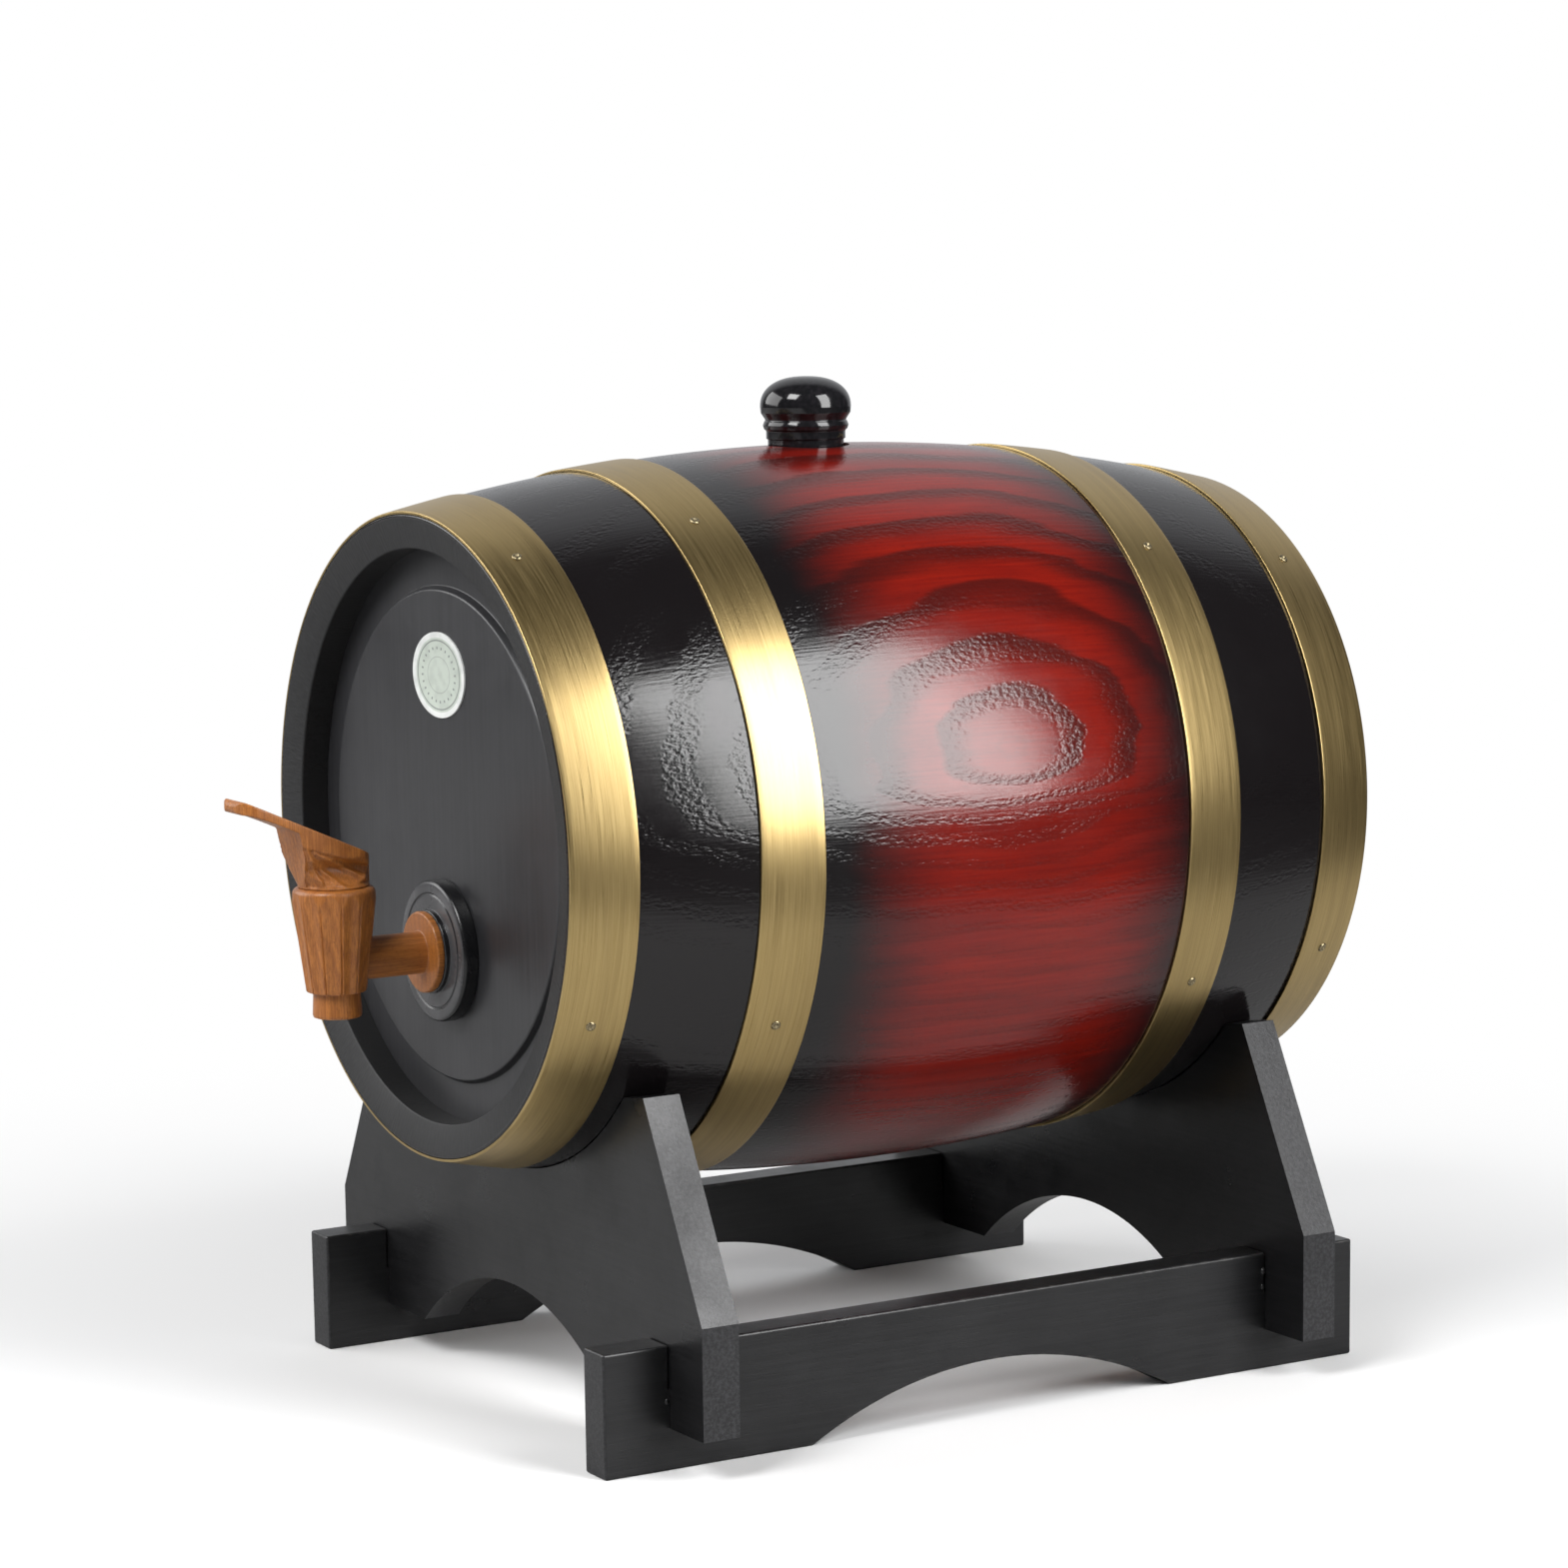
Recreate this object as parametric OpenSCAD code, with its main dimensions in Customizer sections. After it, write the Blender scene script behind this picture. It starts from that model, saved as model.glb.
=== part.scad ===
// Small oak cask with a wooden tap, lying on a four-piece cradle stand.
// Millimetres. +Z is up, the cask lies along Y and its tap points to -Y.
// The origin is on the floor, under the middle of the whole object.

/* [Cask] */
// Length of the cask from rim to rim
cask_len = 280; // [240:1:320]
// Outside radius at the rims
end_r = 95.6; // [90:0.1:100]
// Outside radius at the belly, half way along
belly_r = 111.5; // [106:0.1:116]
// Height of the cask's axis above the floor
cask_axis_z = 174.9; // [165:0.1:190]
// How many staves the barrel is made of
stave_count = 16; // [14:1:18]
// Thickness of a stave between the heads
stave_t = 10; // [8:0.5:12]
// Thickness of the thick stave ends that hold the heads
chime_t = 10.1; // [9:0.1:13]
// How far the end grain slopes in from the rim to the chime
chime_slope = 2.6; // [1:0.1:5]
// Length of each thick stave end
chime_len = 24; // [22:0.5:30]
// Length of the step from the thick stave end to the thinner stave
howel_len = 6; // [3:0.5:10]

/* [Heads] */
// Depth from the rim to the flat border of a head
head_inset = 11.4; // [8:0.1:13]
// Thickness of a head's border
head_t = 10; // [9:0.5:12]
// Thickness of the tongue that sits in the staves' groove
tongue_t = 6; // [4:0.5:7]
// Depth of the groove that holds the tongue
croze_d = 3; // [2:0.5:4]
// Width of a head's flat border, from the staves to the raised middle
border_w = 11.3; // [6:0.1:18]
// How far the raised middle stands out
field_h = 2.1; // [1:0.1:3]

/* [Hoops] */
// Width of every hoop
hoop_w = 20; // [14:0.5:24]
// Thickness of the hoop metal
hoop_t = 0.8; // [0.6:0.1:1.5]
// Distance from a rim of the cask to the middle of a quarter hoop
quarter_inset = 66.25; // [61:0.25:76]
// Radius of a nail's head
nail_head_r = 1.5; // [1:0.1:2]
// Height of a nail's domed head
nail_head_h = 0.5; // [0.3:0.1:1]
// Radius of a nail's shank
nail_shank_r = 0.6; // [0.4:0.1:0.8]
// Length of a nail's shank under its head
nail_len = 7; // [4:0.5:8]

/* [Stand] */
// Thickness of the end boards
board_t = 12; // [9:0.5:15]
// Distance from a rim of the cask to the middle of an end board
board_inset = 34; // [29:0.5:38]
// Width of an end board across its feet
board_w = 235.2; // [225:0.2:250]
// Height of an end board's lower edge above the floor
board_lift = 12.4; // [6:0.1:16]
// Height at which the upright edge of an end board starts to slant
knee_z = 45.7; // [40:0.1:55]
// Width of an end board across its two horns
horn_w = 171.2; // [160:0.2:180]
// Height of an end board's horns
horn_z = 107; // [95:0.5:115]
// Fall of the horn's end from its outside to its inside, in degrees
horn_tilt = 8; // [0:1:15]
// Radius of the arch under an end board
board_arch_r = 90; // [80:1:110]
// Height of the crown of that arch
board_arch_z = 36; // [30:0.5:42]
// Thickness of the rails
rail_t = 12; // [9:0.5:15]
// Height of the rails
rail_h = 37; // [30:0.5:45]
// Length of a rail beyond the middle of each end board
rail_end = 27.5; // [16:0.5:40]
// Distance between the middles of the two rails
rail_pitch = 184.5; // [170:0.5:195]
// Half of the length of the arch under a rail
rail_arch_half = 64; // [50:1:75]
// Height of the crown of that arch
rail_arch_z = 17.1; // [10:0.1:20]
// Height at which a board and a rail meet in their halved joint
halving_z = 24.5; // [21:0.5:28]
// Radius of the dowel that pins each halved joint
dowel_r = 2.5; // [1.5:0.1:3.5]
// Length of that dowel
dowel_len = 27; // [15:1:30]

/* [Tap] */
// Height of the tap's stem above the floor
tap_z = 140.7; // [134:0.1:146]
// Radius of the round plate behind the tap
rosette_r = 21.3; // [16:0.1:24]
// Thickness of that plate
rosette_t = 5.1; // [3:0.1:8]
// Radius of the fine groove on the plate
rosette_groove_r = 16.5; // [13.5:0.1:18]
// Radius of the tap's stem
stem_r = 6.3; // [5:0.1:6.8]
// Radius of the wooden flange on the stem
flange_r = 12.2; // [9:0.1:13]
// Thickness of that flange
flange_t = 4; // [3:0.1:7]
// Distance from the flange to the tap's upright axis
tap_reach = 27.4; // [24:0.1:34]
// Length of the stem's inner end beyond the head
shank_out = 8; // [4:0.5:14]
// Radius of the tap's body where it is widest
tap_body_r = 12.5; // [11.8:0.1:14]
// Radius of the body at its top
tap_top_r = 12.2; // [11.2:0.1:14]
// Radius of the body at its bottom
tap_foot_r = 9.2; // [8.8:0.1:11]
// Height of the body above the stem's axis
tap_above = 22.3; // [16:0.1:28]
// Height of the widest place above the stem's axis
tap_widest_above = 16.8; // [10:0.1:20]
// Depth of the body below the stem's axis
tap_below = 8.9; // [8:0.1:12]
// Number of flats planed on the body
tap_flats = 12; // [10:1:14]
// Depth of the flats' edges below the turned body
flat_cut = 0.15; // [0.1:0.05:0.5]
// Thickness of the wood left under the key's plug
tap_floor_t = 1.5; // [1:0.1:3]
// Radius of the nose that the drink leaves by
nose_r = 7.3; // [6:0.1:8.5]
// Length of the nose below the body
nose_len = 7.7; // [5:0.1:14]
// Radius of the bore through the nose
spout_r = 3.5; // [2.8:0.1:4]
// Radius of the passage through the stem
passage_r = 3; // [2:0.1:3.5]
// Thickness of the cork lining round the key
cork_t = 1.6; // [1:0.1:2.5]

/* [Key] */
// Radius of the key's plug
key_r = 5.6; // [5:0.1:6]
// Radius of the key's neck on top of the tap
key_neck_r = 10.6; // [8:0.1:11]
// Height of the round part of that neck
key_neck_h = 2; // [1:0.1:4]
// Distance from the key's axis to the tip of its lever
lever_front = 33.45; // [28:0.05:40]
// Distance from the key's axis to the back of its lever
lever_back = 11.2; // [8:0.1:13]
// Height of the lever's top at its back, above the tap's body
lever_back_h = 8.75; // [7:0.05:12]
// Slope of the lever in degrees
lever_slope = 24.4; // [15:0.1:30]
// Thickness of the lever at its back
lever_t = 5.3; // [4:0.1:7]
// Thickness of the lever at its tip
lever_tip_t = 2.8; // [2:0.1:4]
// Width of the lever
lever_w = 17; // [12:0.5:22]
// Radius of the lever's corners as a share of its width
lever_round = 0.2; // [0.1:0.01:0.48]
// Width of the waist between the neck and the lever
waist_w = 13; // [9:0.5:16]
// Distance from the key's axis to the front of the web under the lever
web_front = 13.5; // [11.5:0.1:18]

/* [Bung] */
// Distance of the bung from the middle of the cask, towards the tap
bung_offset = 3.4; // [0:0.1:8]
// Radius of the bung hole
bung_hole_r = 11; // [9:0.1:11.5]
// Radius of the flat sunk round the bung hole
bung_seat_r = 13.35; // [12.5:0.05:16]
// Depth of that flat below the top of the cask
bung_seat_d = 1.4; // [0.9:0.1:2.5]
// Radius of the bung's neck
bung_neck_r = 11.7; // [10:0.1:12]
// Radius of the bead round the bung
bung_bead_r = 13.2; // [11:0.1:14]
// Height of the bead's middle above the top of the cask
bung_bead_h = 5.8; // [4:0.1:7]
// Radius of the bung's dome
bung_dome_r = 14; // [12:0.05:15]
// Height of the dome's widest place above the top of the cask
bung_dome_h = 11.4; // [10:0.1:14]
// Height of the dome's top above the top of the cask
bung_top_h = 20.6; // [17:0.1:26]
// Length of the stopper below the flat
stopper_len = 19; // [12:0.5:22]
// Radius of the stopper's lower end
stopper_tip_r = 9.4; // [7:0.1:10]
// Radius of the tenon that joins the stopper to the bung
tenon_r = 4; // [3:0.1:5]
// Length of that tenon
tenon_len = 8; // [5:0.5:10]

/* [Badge] */
// Width of the oval badge on the front head
badge_w = 34; // [20:0.5:40]
// Height of that badge
badge_h = 25.4; // [14:0.2:30]
// Thickness of that badge
badge_t = 0.5; // [0.3:0.1:1]
// Height of the badge's middle above the cask's axis
badge_above = 48; // [40:0.5:54]

/* [Fits] */
// Gap between the cask and the stand it rests in
seat_gap = 0.3; // [0.2:0.05:0.6]
// Gap between a hoop and the staves under it
hoop_gap = 0.1; // [0.05:0.05:0.3]
// Gap of glued and pushed-together wooden joints
joint_gap = 0.1; // [0.05:0.05:0.3]
// Gap round the key's plug, so that it turns
key_gap = 0.05; // [0.02:0.01:0.1]
// Gap round the bung's stopper
bung_gap = 0.3; // [0.1:0.05:0.5]

/* [Hidden] */
$fn = 96;
eps = 0.01;

// Colours
oak_red = [0.62, 0.17, 0.06];
black = [0.11, 0.11, 0.12];
brass = [0.66, 0.56, 0.33];
steel = [0.55, 0.53, 0.50];
tap_wood = [0.68, 0.40, 0.19];
cork = [0.74, 0.58, 0.40];
pale = [0.75, 0.73, 0.68];

// The cask's outside is one arc that passes through both rims and the belly
half_len = cask_len / 2;
bulge = belly_r - end_r;
chime_r = end_r - chime_t;
field_r = chime_r - border_w;
arc_r = (half_len * half_len + bulge * bulge) / (2 * bulge);
function cask_r(y) = belly_r - arc_r + sqrt(arc_r * arc_r - y * y);
arc_steps = 16;

// Places along the cask, measured from its middle
quarter_hoop_y = half_len - quarter_inset;
head_face = half_len - head_inset;
head_back = head_face - head_t;
field_face = head_face + field_h;
end_hoop_y = half_len - hoop_w / 2;
board_pitch = 2 * (half_len - board_inset);
rail_len = board_pitch + 2 * rail_end;
tap_y = -(field_face + rosette_t + flange_t + tap_reach);
shank_end_y = -(head_back - shank_out);
lining_r = key_r + key_gap + cork_t;
stem_start_y = tap_y + lining_r + joint_gap;
flange_y = -field_face - rosette_t - flange_t;
lever_tip_y = tap_y - lever_front;
// Puts the middle of the whole object over the origin
cask_mid_y = (-lever_tip_y - half_len) / 2;

// Heights above the floor
belly_top_z = cask_axis_z + belly_r;
tap_top_z = tap_z + tap_above;
tap_foot_z = tap_z - tap_below;
nose_tip_z = tap_foot_z - nose_len;
plug_foot_z = tap_foot_z + tap_floor_t;
seat_z = belly_top_z - bung_seat_d;

stave_angle = 360 / stave_count;
flat_share = cos(180 / tap_flats);
facet_tilt = atan((tap_body_r - tap_foot_r) * flat_share / (tap_widest_above + tap_below));

// Where the nails go, in degrees from the top towards +X
front_nail_angles = [30, 117, 210, 297];
rear_nail_angles = [42, 118, 222, 298];

// ---------- helpers ----------

// Puts a shape drawn round Z onto the cask's axis, its Z along +Y
module on_cask_axis() {
  translate([0, cask_mid_y, cask_axis_z]) rotate([-90, 0, 0]) children();
}

// The same for the tap's stem
module on_stem_axis() {
  translate([0, cask_mid_y, tap_z]) rotate([-90, 0, 0]) children();
}

// Puts a shape drawn round Z onto the tap's upright axis
module on_key_axis(z) {
  translate([0, cask_mid_y + tap_y, z]) children();
}

// Puts a shape onto the bung's upright axis
module on_bung_axis(z) {
  translate([0, cask_mid_y - bung_offset, z]) children();
}

// A ring of revolution cut down to one stave, centred on angle a from the top
module stave_sector(a) {
  rotate([0, 0, a - 90 - stave_angle / 2])
    rotate_extrude(angle = stave_angle) children();
}

// Puts a shape on a hoop's surface at every nail, its Z pointing straight out of the hoop
module at_nails(y, angles) {
  lean = asin(y / arc_r);
  for (a = angles)
    rotate([0, 0, a - 90]) translate([cask_r(y) + hoop_gap + hoop_t, 0, y])
      rotate([0, 90 - lean, 0]) children();
}

// Holes for one hoop's nails, through the hoop and into the staves
module nail_holes(y, angles) {
  at_nails(y, angles) translate([0, 0, -nail_len - joint_gap])
    cylinder(r = nail_shank_r + joint_gap / 2, h = nail_len + 2 * hoop_t);
}

module all_nail_holes() {
  nail_holes(-end_hoop_y, front_nail_angles);
  nail_holes(-quarter_hoop_y, front_nail_angles);
  nail_holes(quarter_hoop_y, rear_nail_angles);
  nail_holes(end_hoop_y, rear_nail_angles);
}

// ---------- cask ----------

// Half outline of the staves: out along the arc, back along the inside
module stave_profile() {
  outer = [for (i = [-arc_steps:arc_steps]) let (y = half_len * i / arc_steps) [cask_r(y), y]];
  bore_y = half_len - chime_len - howel_len;
  inner = [for (i = [arc_steps:-2:-arc_steps]) let (y = bore_y * i / arc_steps) [cask_r(y) - stave_t, y]];
  far_chime = [[chime_r, half_len - chime_slope], [chime_r, half_len - chime_len]];
  near_chime = [[chime_r, -half_len + chime_len], [chime_r, -half_len + chime_slope]];
  polygon(concat(outer, far_chime, inner, near_chime));
}

// Groove that takes a head's tongue
module croze_profile() {
  for (end = [0, 1])
    mirror([0, end]) translate([0, head_face - tongue_t - joint_gap])
      square([chime_r + croze_d + joint_gap, tongue_t + 2 * joint_gap]);
}

module stave(i) {
  color(oak_red)
    difference() {
      on_cask_axis() difference() {
        stave_sector((i - 1) * stave_angle) difference() {
          stave_profile();
          croze_profile();
        }
        all_nail_holes();
      }
      if (i == 1) bung_opening();
    }
}

module bung_opening() {
  on_bung_axis(seat_z) cylinder(r = bung_seat_r, h = 2 * bung_seat_d);
  on_bung_axis(cask_axis_z) cylinder(r = bung_hole_r, h = belly_r);
}

// Half outline of a head, its outside at +Y
module head_profile() {
  polygon([
    [0, head_back], [chime_r - joint_gap, head_back],
    [chime_r - joint_gap, head_face - tongue_t],
    [chime_r + croze_d, head_face - tongue_t], [chime_r + croze_d, head_face],
    [field_r, head_face], [field_r - field_h / 2, field_face], [0, field_face]
  ]);
}

module front_head() {
  color(black) difference() {
    on_cask_axis() mirror([0, 0, 1]) rotate_extrude() head_profile();
    on_stem_axis() translate([0, 0, -half_len]) cylinder(r = stem_r + joint_gap / 2, h = half_len);
  }
}

module rear_head() {
  color(black) on_cask_axis() rotate_extrude() head_profile();
}

// A band of hoop metal that follows the arc of the staves
module hoop(y, angles) {
  color(brass) on_cask_axis() difference() {
    rotate_extrude() polygon([
      [cask_r(y - hoop_w / 2) + hoop_gap, y - hoop_w / 2],
      [cask_r(y - hoop_w / 2) + hoop_gap + hoop_t, y - hoop_w / 2],
      [cask_r(y) + hoop_gap + hoop_t, y],
      [cask_r(y + hoop_w / 2) + hoop_gap + hoop_t, y + hoop_w / 2],
      [cask_r(y + hoop_w / 2) + hoop_gap, y + hoop_w / 2],
      [cask_r(y) + hoop_gap, y]
    ]);
    nail_holes(y, angles);
  }
}

// One domed nail, its shank along -Z from the hoop's surface at z = 0
module nail() {
  dome_r = (nail_head_r * nail_head_r + nail_head_h * nail_head_h) / (2 * nail_head_h);
  intersection() {
    translate([0, 0, nail_head_h - dome_r]) sphere(r = dome_r);
    cylinder(r = nail_head_r, h = nail_head_h);
  }
  translate([0, 0, -nail_len]) cylinder(r = nail_shank_r, h = nail_len + eps);
}

module nails(y, angles) {
  color(steel) on_cask_axis() at_nails(y, angles) translate([0, 0, joint_gap / 2]) nail();
}

// ---------- stand ----------

// Outline of an end board seen from the front, before the cask's seat is cut
module board_outline() {
  w = board_w / 2;
  h = horn_w / 2;
  difference() {
    polygon([
      [-w, board_lift], [-w, knee_z], [-h, horn_z], [0, horn_z - h * tan(horn_tilt)],
      [h, horn_z], [w, knee_z], [w, board_lift]
    ]);
    translate([0, board_arch_z - board_arch_r]) circle(r = board_arch_r);
  }
}

// side is -1 for the tap's end and 1 for the far end
module end_board(side) {
  inner_y = board_pitch / 2 - board_t / 2;
  color(black) difference() {
    translate([0, cask_mid_y + side * board_pitch / 2 + board_t / 2, 0])
      rotate([90, 0, 0]) linear_extrude(board_t) board_outline();
    on_cask_axis() mirror([0, 0, side < 0 ? 1 : 0]) translate([0, 0, inner_y])
      cylinder(r1 = cask_r(inner_y) + seat_gap, r2 = cask_r(inner_y + board_t) + seat_gap, h = board_t);
    for (s = [-1, 1]) {
      translate([s * rail_pitch / 2 - rail_t / 2 - joint_gap, cask_mid_y - half_len, -eps])
        cube([rail_t + 2 * joint_gap, cask_len, halving_z + eps]);
      joint_dowel(s, side, joint_gap);
    }
  }
}

// side is -1 for the left rail and 1 for the right one
module rail(side) {
  arch_r = (rail_arch_half * rail_arch_half + rail_arch_z * rail_arch_z) / (2 * rail_arch_z);
  color(black) difference() {
    translate([side * rail_pitch / 2 - rail_t / 2, cask_mid_y - rail_len / 2, 0])
      cube([rail_t, rail_len, rail_h]);
    translate([side * rail_pitch / 2 - rail_t, cask_mid_y, rail_arch_z - arch_r])
      rotate([0, 90, 0]) cylinder(r = arch_r, h = 2 * rail_t);
    for (s = [-1, 1]) {
      translate([side * rail_pitch / 2 - rail_t, cask_mid_y + s * board_pitch / 2 - board_t / 2 - joint_gap,
        halving_z])
        cube([2 * rail_t, board_t + 2 * joint_gap, rail_h]);
      joint_dowel(side, s, joint_gap);
    }
  }
}

// Dowel through one halved joint, half in the rail and half in the board. Its hole has a gap.
module joint_dowel(x_side, y_side, gap = 0) {
  translate([x_side * rail_pitch / 2, cask_mid_y + y_side * board_pitch / 2,
    halving_z - dowel_len / 2 - gap])
    cylinder(r = dowel_r + gap / 2, h = dowel_len + 2 * gap);
}

module joint_dowels() {
  color(tap_wood) for (sx = [-1, 1]) for (sy = [-1, 1]) joint_dowel(sx, sy);
}

// ---------- tap ----------

module tap_rosette() {
  edge = rosette_t / 4;
  color(black) on_stem_axis() translate([0, 0, -field_face]) rotate([180, 0, 0])
    rotate_extrude() difference() {
      polygon([
        [stem_r + joint_gap / 2, 0], [rosette_r, 0], [rosette_r, rosette_t - edge],
        [rosette_r - edge, rosette_t], [stem_r + joint_gap / 2, rosette_t]
      ]);
      translate([rosette_groove_r, rosette_t]) circle(r = edge / 2, $fn = 4);
    }
}

// Turned body with a round nose, before its flats are planed
module tap_turning() {
  rotate_extrude() polygon([
    [0, nose_tip_z], [nose_r, nose_tip_z], [nose_r, tap_foot_z], [tap_foot_r, tap_foot_z],
    [tap_body_r, tap_z + tap_widest_above], [tap_top_r, tap_top_z], [0, tap_top_z]
  ]);
}

// Cuts the flats: each leans outwards as the body widens
module tap_flats() {
  flat_r = (tap_foot_r - flat_cut) * flat_share;
  for (i = [0:tap_flats - 1])
    rotate([0, 0, 360 * (i + 0.5) / tap_flats]) translate([flat_r, 0, tap_foot_z])
      rotate([0, facet_tilt, 0]) translate([0, -tap_body_r, -eps])
        cube([tap_body_r, 2 * tap_body_r, 2 * (tap_above + tap_below)]);
}

// The barrel of the tap: a socket for the stem, a bore for the lining, a bore down the nose
module tap_body() {
  color(tap_wood) difference() {
    on_key_axis(0) difference() {
      tap_turning();
      tap_flats();
    }
    on_key_axis(plug_foot_z - joint_gap) cylinder(r = lining_r + joint_gap / 2, h = tap_above + tap_below);
    on_key_axis(nose_tip_z - eps) cylinder(r = spout_r, h = nose_len + tap_below);
    on_stem_axis() translate([0, 0, tap_y]) cylinder(r = stem_r + joint_gap / 2, h = -tap_y);
  }
}

// The stem with its flange, bored through from end to end
module tap_stem() {
  color(tap_wood) on_stem_axis() difference() {
    union() {
      translate([0, 0, stem_start_y]) cylinder(r = stem_r, h = shank_end_y - stem_start_y);
      translate([0, 0, flange_y]) cylinder(r = flange_r, h = flange_t);
    }
    stem_passage();
  }
}

module stem_passage() {
  translate([0, 0, tap_y]) cylinder(r = passage_r, h = -tap_y);
}

// Cork sleeve that the key turns in, open towards the stem
module tap_cork_lining() {
  color(cork) difference() {
    on_key_axis(plug_foot_z) cylinder(r = lining_r, h = tap_top_z - plug_foot_z);
    on_key_axis(plug_foot_z - eps) cylinder(r = key_r + key_gap, h = tap_above + tap_below);
    on_stem_axis() stem_passage();
  }
}

// Side outline of the lever, its web and its neck; x is forwards, y is up
module lever_side() {
  s = tan(lever_slope);
  top_back = lever_back_h;
  top_front = lever_back_h + (lever_back + lever_front) * s;
  web_top = top_back - lever_t + (lever_back + web_front) * s;
  web_round = 0.9;
  web_r = web_top * web_round;
  difference() {
    polygon([
      [-lever_back, 0], [-lever_back, top_back], [lever_front, top_front],
      [lever_front, top_front - lever_tip_t], [web_front, web_top], [web_front, 0]
    ]);
    translate([key_neck_r + web_r, key_neck_h]) circle(r = web_r);
    translate([web_front - eps, -eps]) square([web_front, key_neck_h + 2 * eps]);
    translate([key_neck_r, -eps]) square([web_front, key_neck_h + 2 * eps]);
  }
}

// Front outline: the round neck, a narrower waist and the broad lever
module lever_front_view() {
  top = lever_back_h + (lever_back + lever_front) * tan(lever_slope);
  waist_z = lever_back_h - lever_t / 2;
  flank_r = (waist_z - key_neck_h) / 2 + (key_neck_r - waist_w / 2) / 2;
  polygon([
    [-key_neck_r, 0], [-key_neck_r, key_neck_h], [-waist_w / 2, waist_z], [-lever_w / 2, waist_z + flank_r],
    [-lever_w / 2, top], [lever_w / 2, top], [lever_w / 2, waist_z + flank_r], [waist_w / 2, waist_z],
    [key_neck_r, key_neck_h], [key_neck_r, 0]
  ]);
}

module tap_key() {
  port_r = passage_r - key_gap;
  top = 2 * (lever_back_h + lever_front);
  color(tap_wood) difference() {
    union() {
      // Lever carved from two sides
      on_key_axis(tap_top_z) intersection() {
        rotate([90, 0, -90]) translate([0, 0, -key_neck_r]) linear_extrude(2 * key_neck_r) lever_side();
        translate([0, lever_front * 2, 0]) rotate([90, 0, 0]) linear_extrude(lever_front * 4)
          lever_front_view();
        lever_plan(top);
      }
      on_key_axis(plug_foot_z + key_gap) cylinder(r = key_r, h = tap_top_z - plug_foot_z);
    }
    // Cross port and the way down from it
    on_key_axis(tap_z) translate([-key_neck_r, 0, 0]) rotate([0, 90, 0])
      cylinder(r = port_r, h = 2 * key_neck_r);
    on_key_axis(plug_foot_z) cylinder(r = port_r, h = tap_z - plug_foot_z);
  }
}

// Plan of the key seen from above: round over the neck, with a rounded tip
module lever_plan(h) {
  corner = lever_w * lever_round;
  cylinder(r = key_neck_r, h = h);
  translate([-lever_w / 2, -lever_front + corner, 0]) cube([lever_w, lever_front - corner, h]);
  translate([-lever_w / 2 + corner, -lever_front, 0]) cube([lever_w - 2 * corner, lever_front, h]);
  for (s = [-1, 1])
    translate([s * (lever_w / 2 - corner), -lever_front + corner, 0]) cylinder(r = corner, h = h);
}

// ---------- bung ----------

module bung_knob() {
  collar_h = 1.5;
  collar_r = bung_neck_r + 0.5;
  bead_half = 1.6;
  bead_side_r = bung_bead_r - 0.5;
  shoulder_r = bung_bead_r - 1.2;
  shoulder_h = bung_bead_h + bead_half;
  dome_steps = 8;
  dome_rise = bung_top_h - bung_dome_h;
  dome = [for (i = [0:dome_steps]) let (a = 90 * i / dome_steps)
    [bung_dome_r * cos(a), bung_dome_h + dome_rise * sin(a)]];
  color(black) on_bung_axis(belly_top_z) difference() {
    rotate_extrude() polygon(concat(
      [
        [0, seat_gap - bung_seat_d], [bung_neck_r, seat_gap - bung_seat_d], [bung_neck_r, collar_h],
        [collar_r, collar_h], [collar_r, bung_bead_h - bead_half],
        [bead_side_r, bung_bead_h - bead_half / 2], [bung_bead_r, bung_bead_h],
        [bead_side_r, bung_bead_h + bead_half / 2], [shoulder_r, shoulder_h]
      ],
      dome
    ));
    translate([0, 0, seat_gap - bung_seat_d - eps]) cylinder(r = tenon_r + joint_gap / 2, h = tenon_len);
  }
}

module bung_stopper() {
  color(cork) on_bung_axis(seat_z) {
    translate([0, 0, -stopper_len])
      cylinder(r1 = stopper_tip_r, r2 = bung_hole_r - bung_gap, h = stopper_len + seat_gap);
    cylinder(r = tenon_r, h = tenon_len - joint_gap);
  }
}

// ---------- badge ----------

module badge() {
  points = 48;
  color(pale) translate([0, cask_mid_y - field_face, cask_axis_z + badge_above]) rotate([90, 0, 0])
    linear_extrude(badge_t) polygon([for (i = [0:points - 1]) let (a = 360 * i / points)
      [badge_w / 2 * cos(a), badge_h / 2 * sin(a)]]);
}

// ---------- what is drawn ----------

end_board(-1);  // front_end_board
end_board(1);  // rear_end_board
rail(-1);  // left_rail
rail(1);  // right_rail
joint_dowels();
for (i = [1:stave_count]) stave(i);
front_head();
rear_head();
hoop(-end_hoop_y, front_nail_angles);  // hoop_front_end
hoop(-quarter_hoop_y, front_nail_angles);  // hoop_front_quarter
hoop(quarter_hoop_y, rear_nail_angles);  // hoop_rear_quarter
hoop(end_hoop_y, rear_nail_angles);  // hoop_rear_end
nails(-end_hoop_y, front_nail_angles);  // nails_front_end
nails(-quarter_hoop_y, front_nail_angles);  // nails_front_quarter
nails(quarter_hoop_y, rear_nail_angles);  // nails_rear_quarter
nails(end_hoop_y, rear_nail_angles);  // nails_rear_end
tap_rosette();
tap_stem();
tap_body();
tap_cork_lining();
tap_key();
bung_knob();
bung_stopper();
badge();
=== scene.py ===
# %% [markdown]
# # A small oak cask with a wooden tap
#
# This file dresses the cask so that it looks like the real one: brass hoops, black ends, a red
# middle, an oiled tap. The exact construction comes in as a fixed frame. We may hide a plain part
# and lay a finer one over it, but nothing changes its size or place.

import math

import bmesh
import bpy
from mathutils import Matrix, Vector


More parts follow.
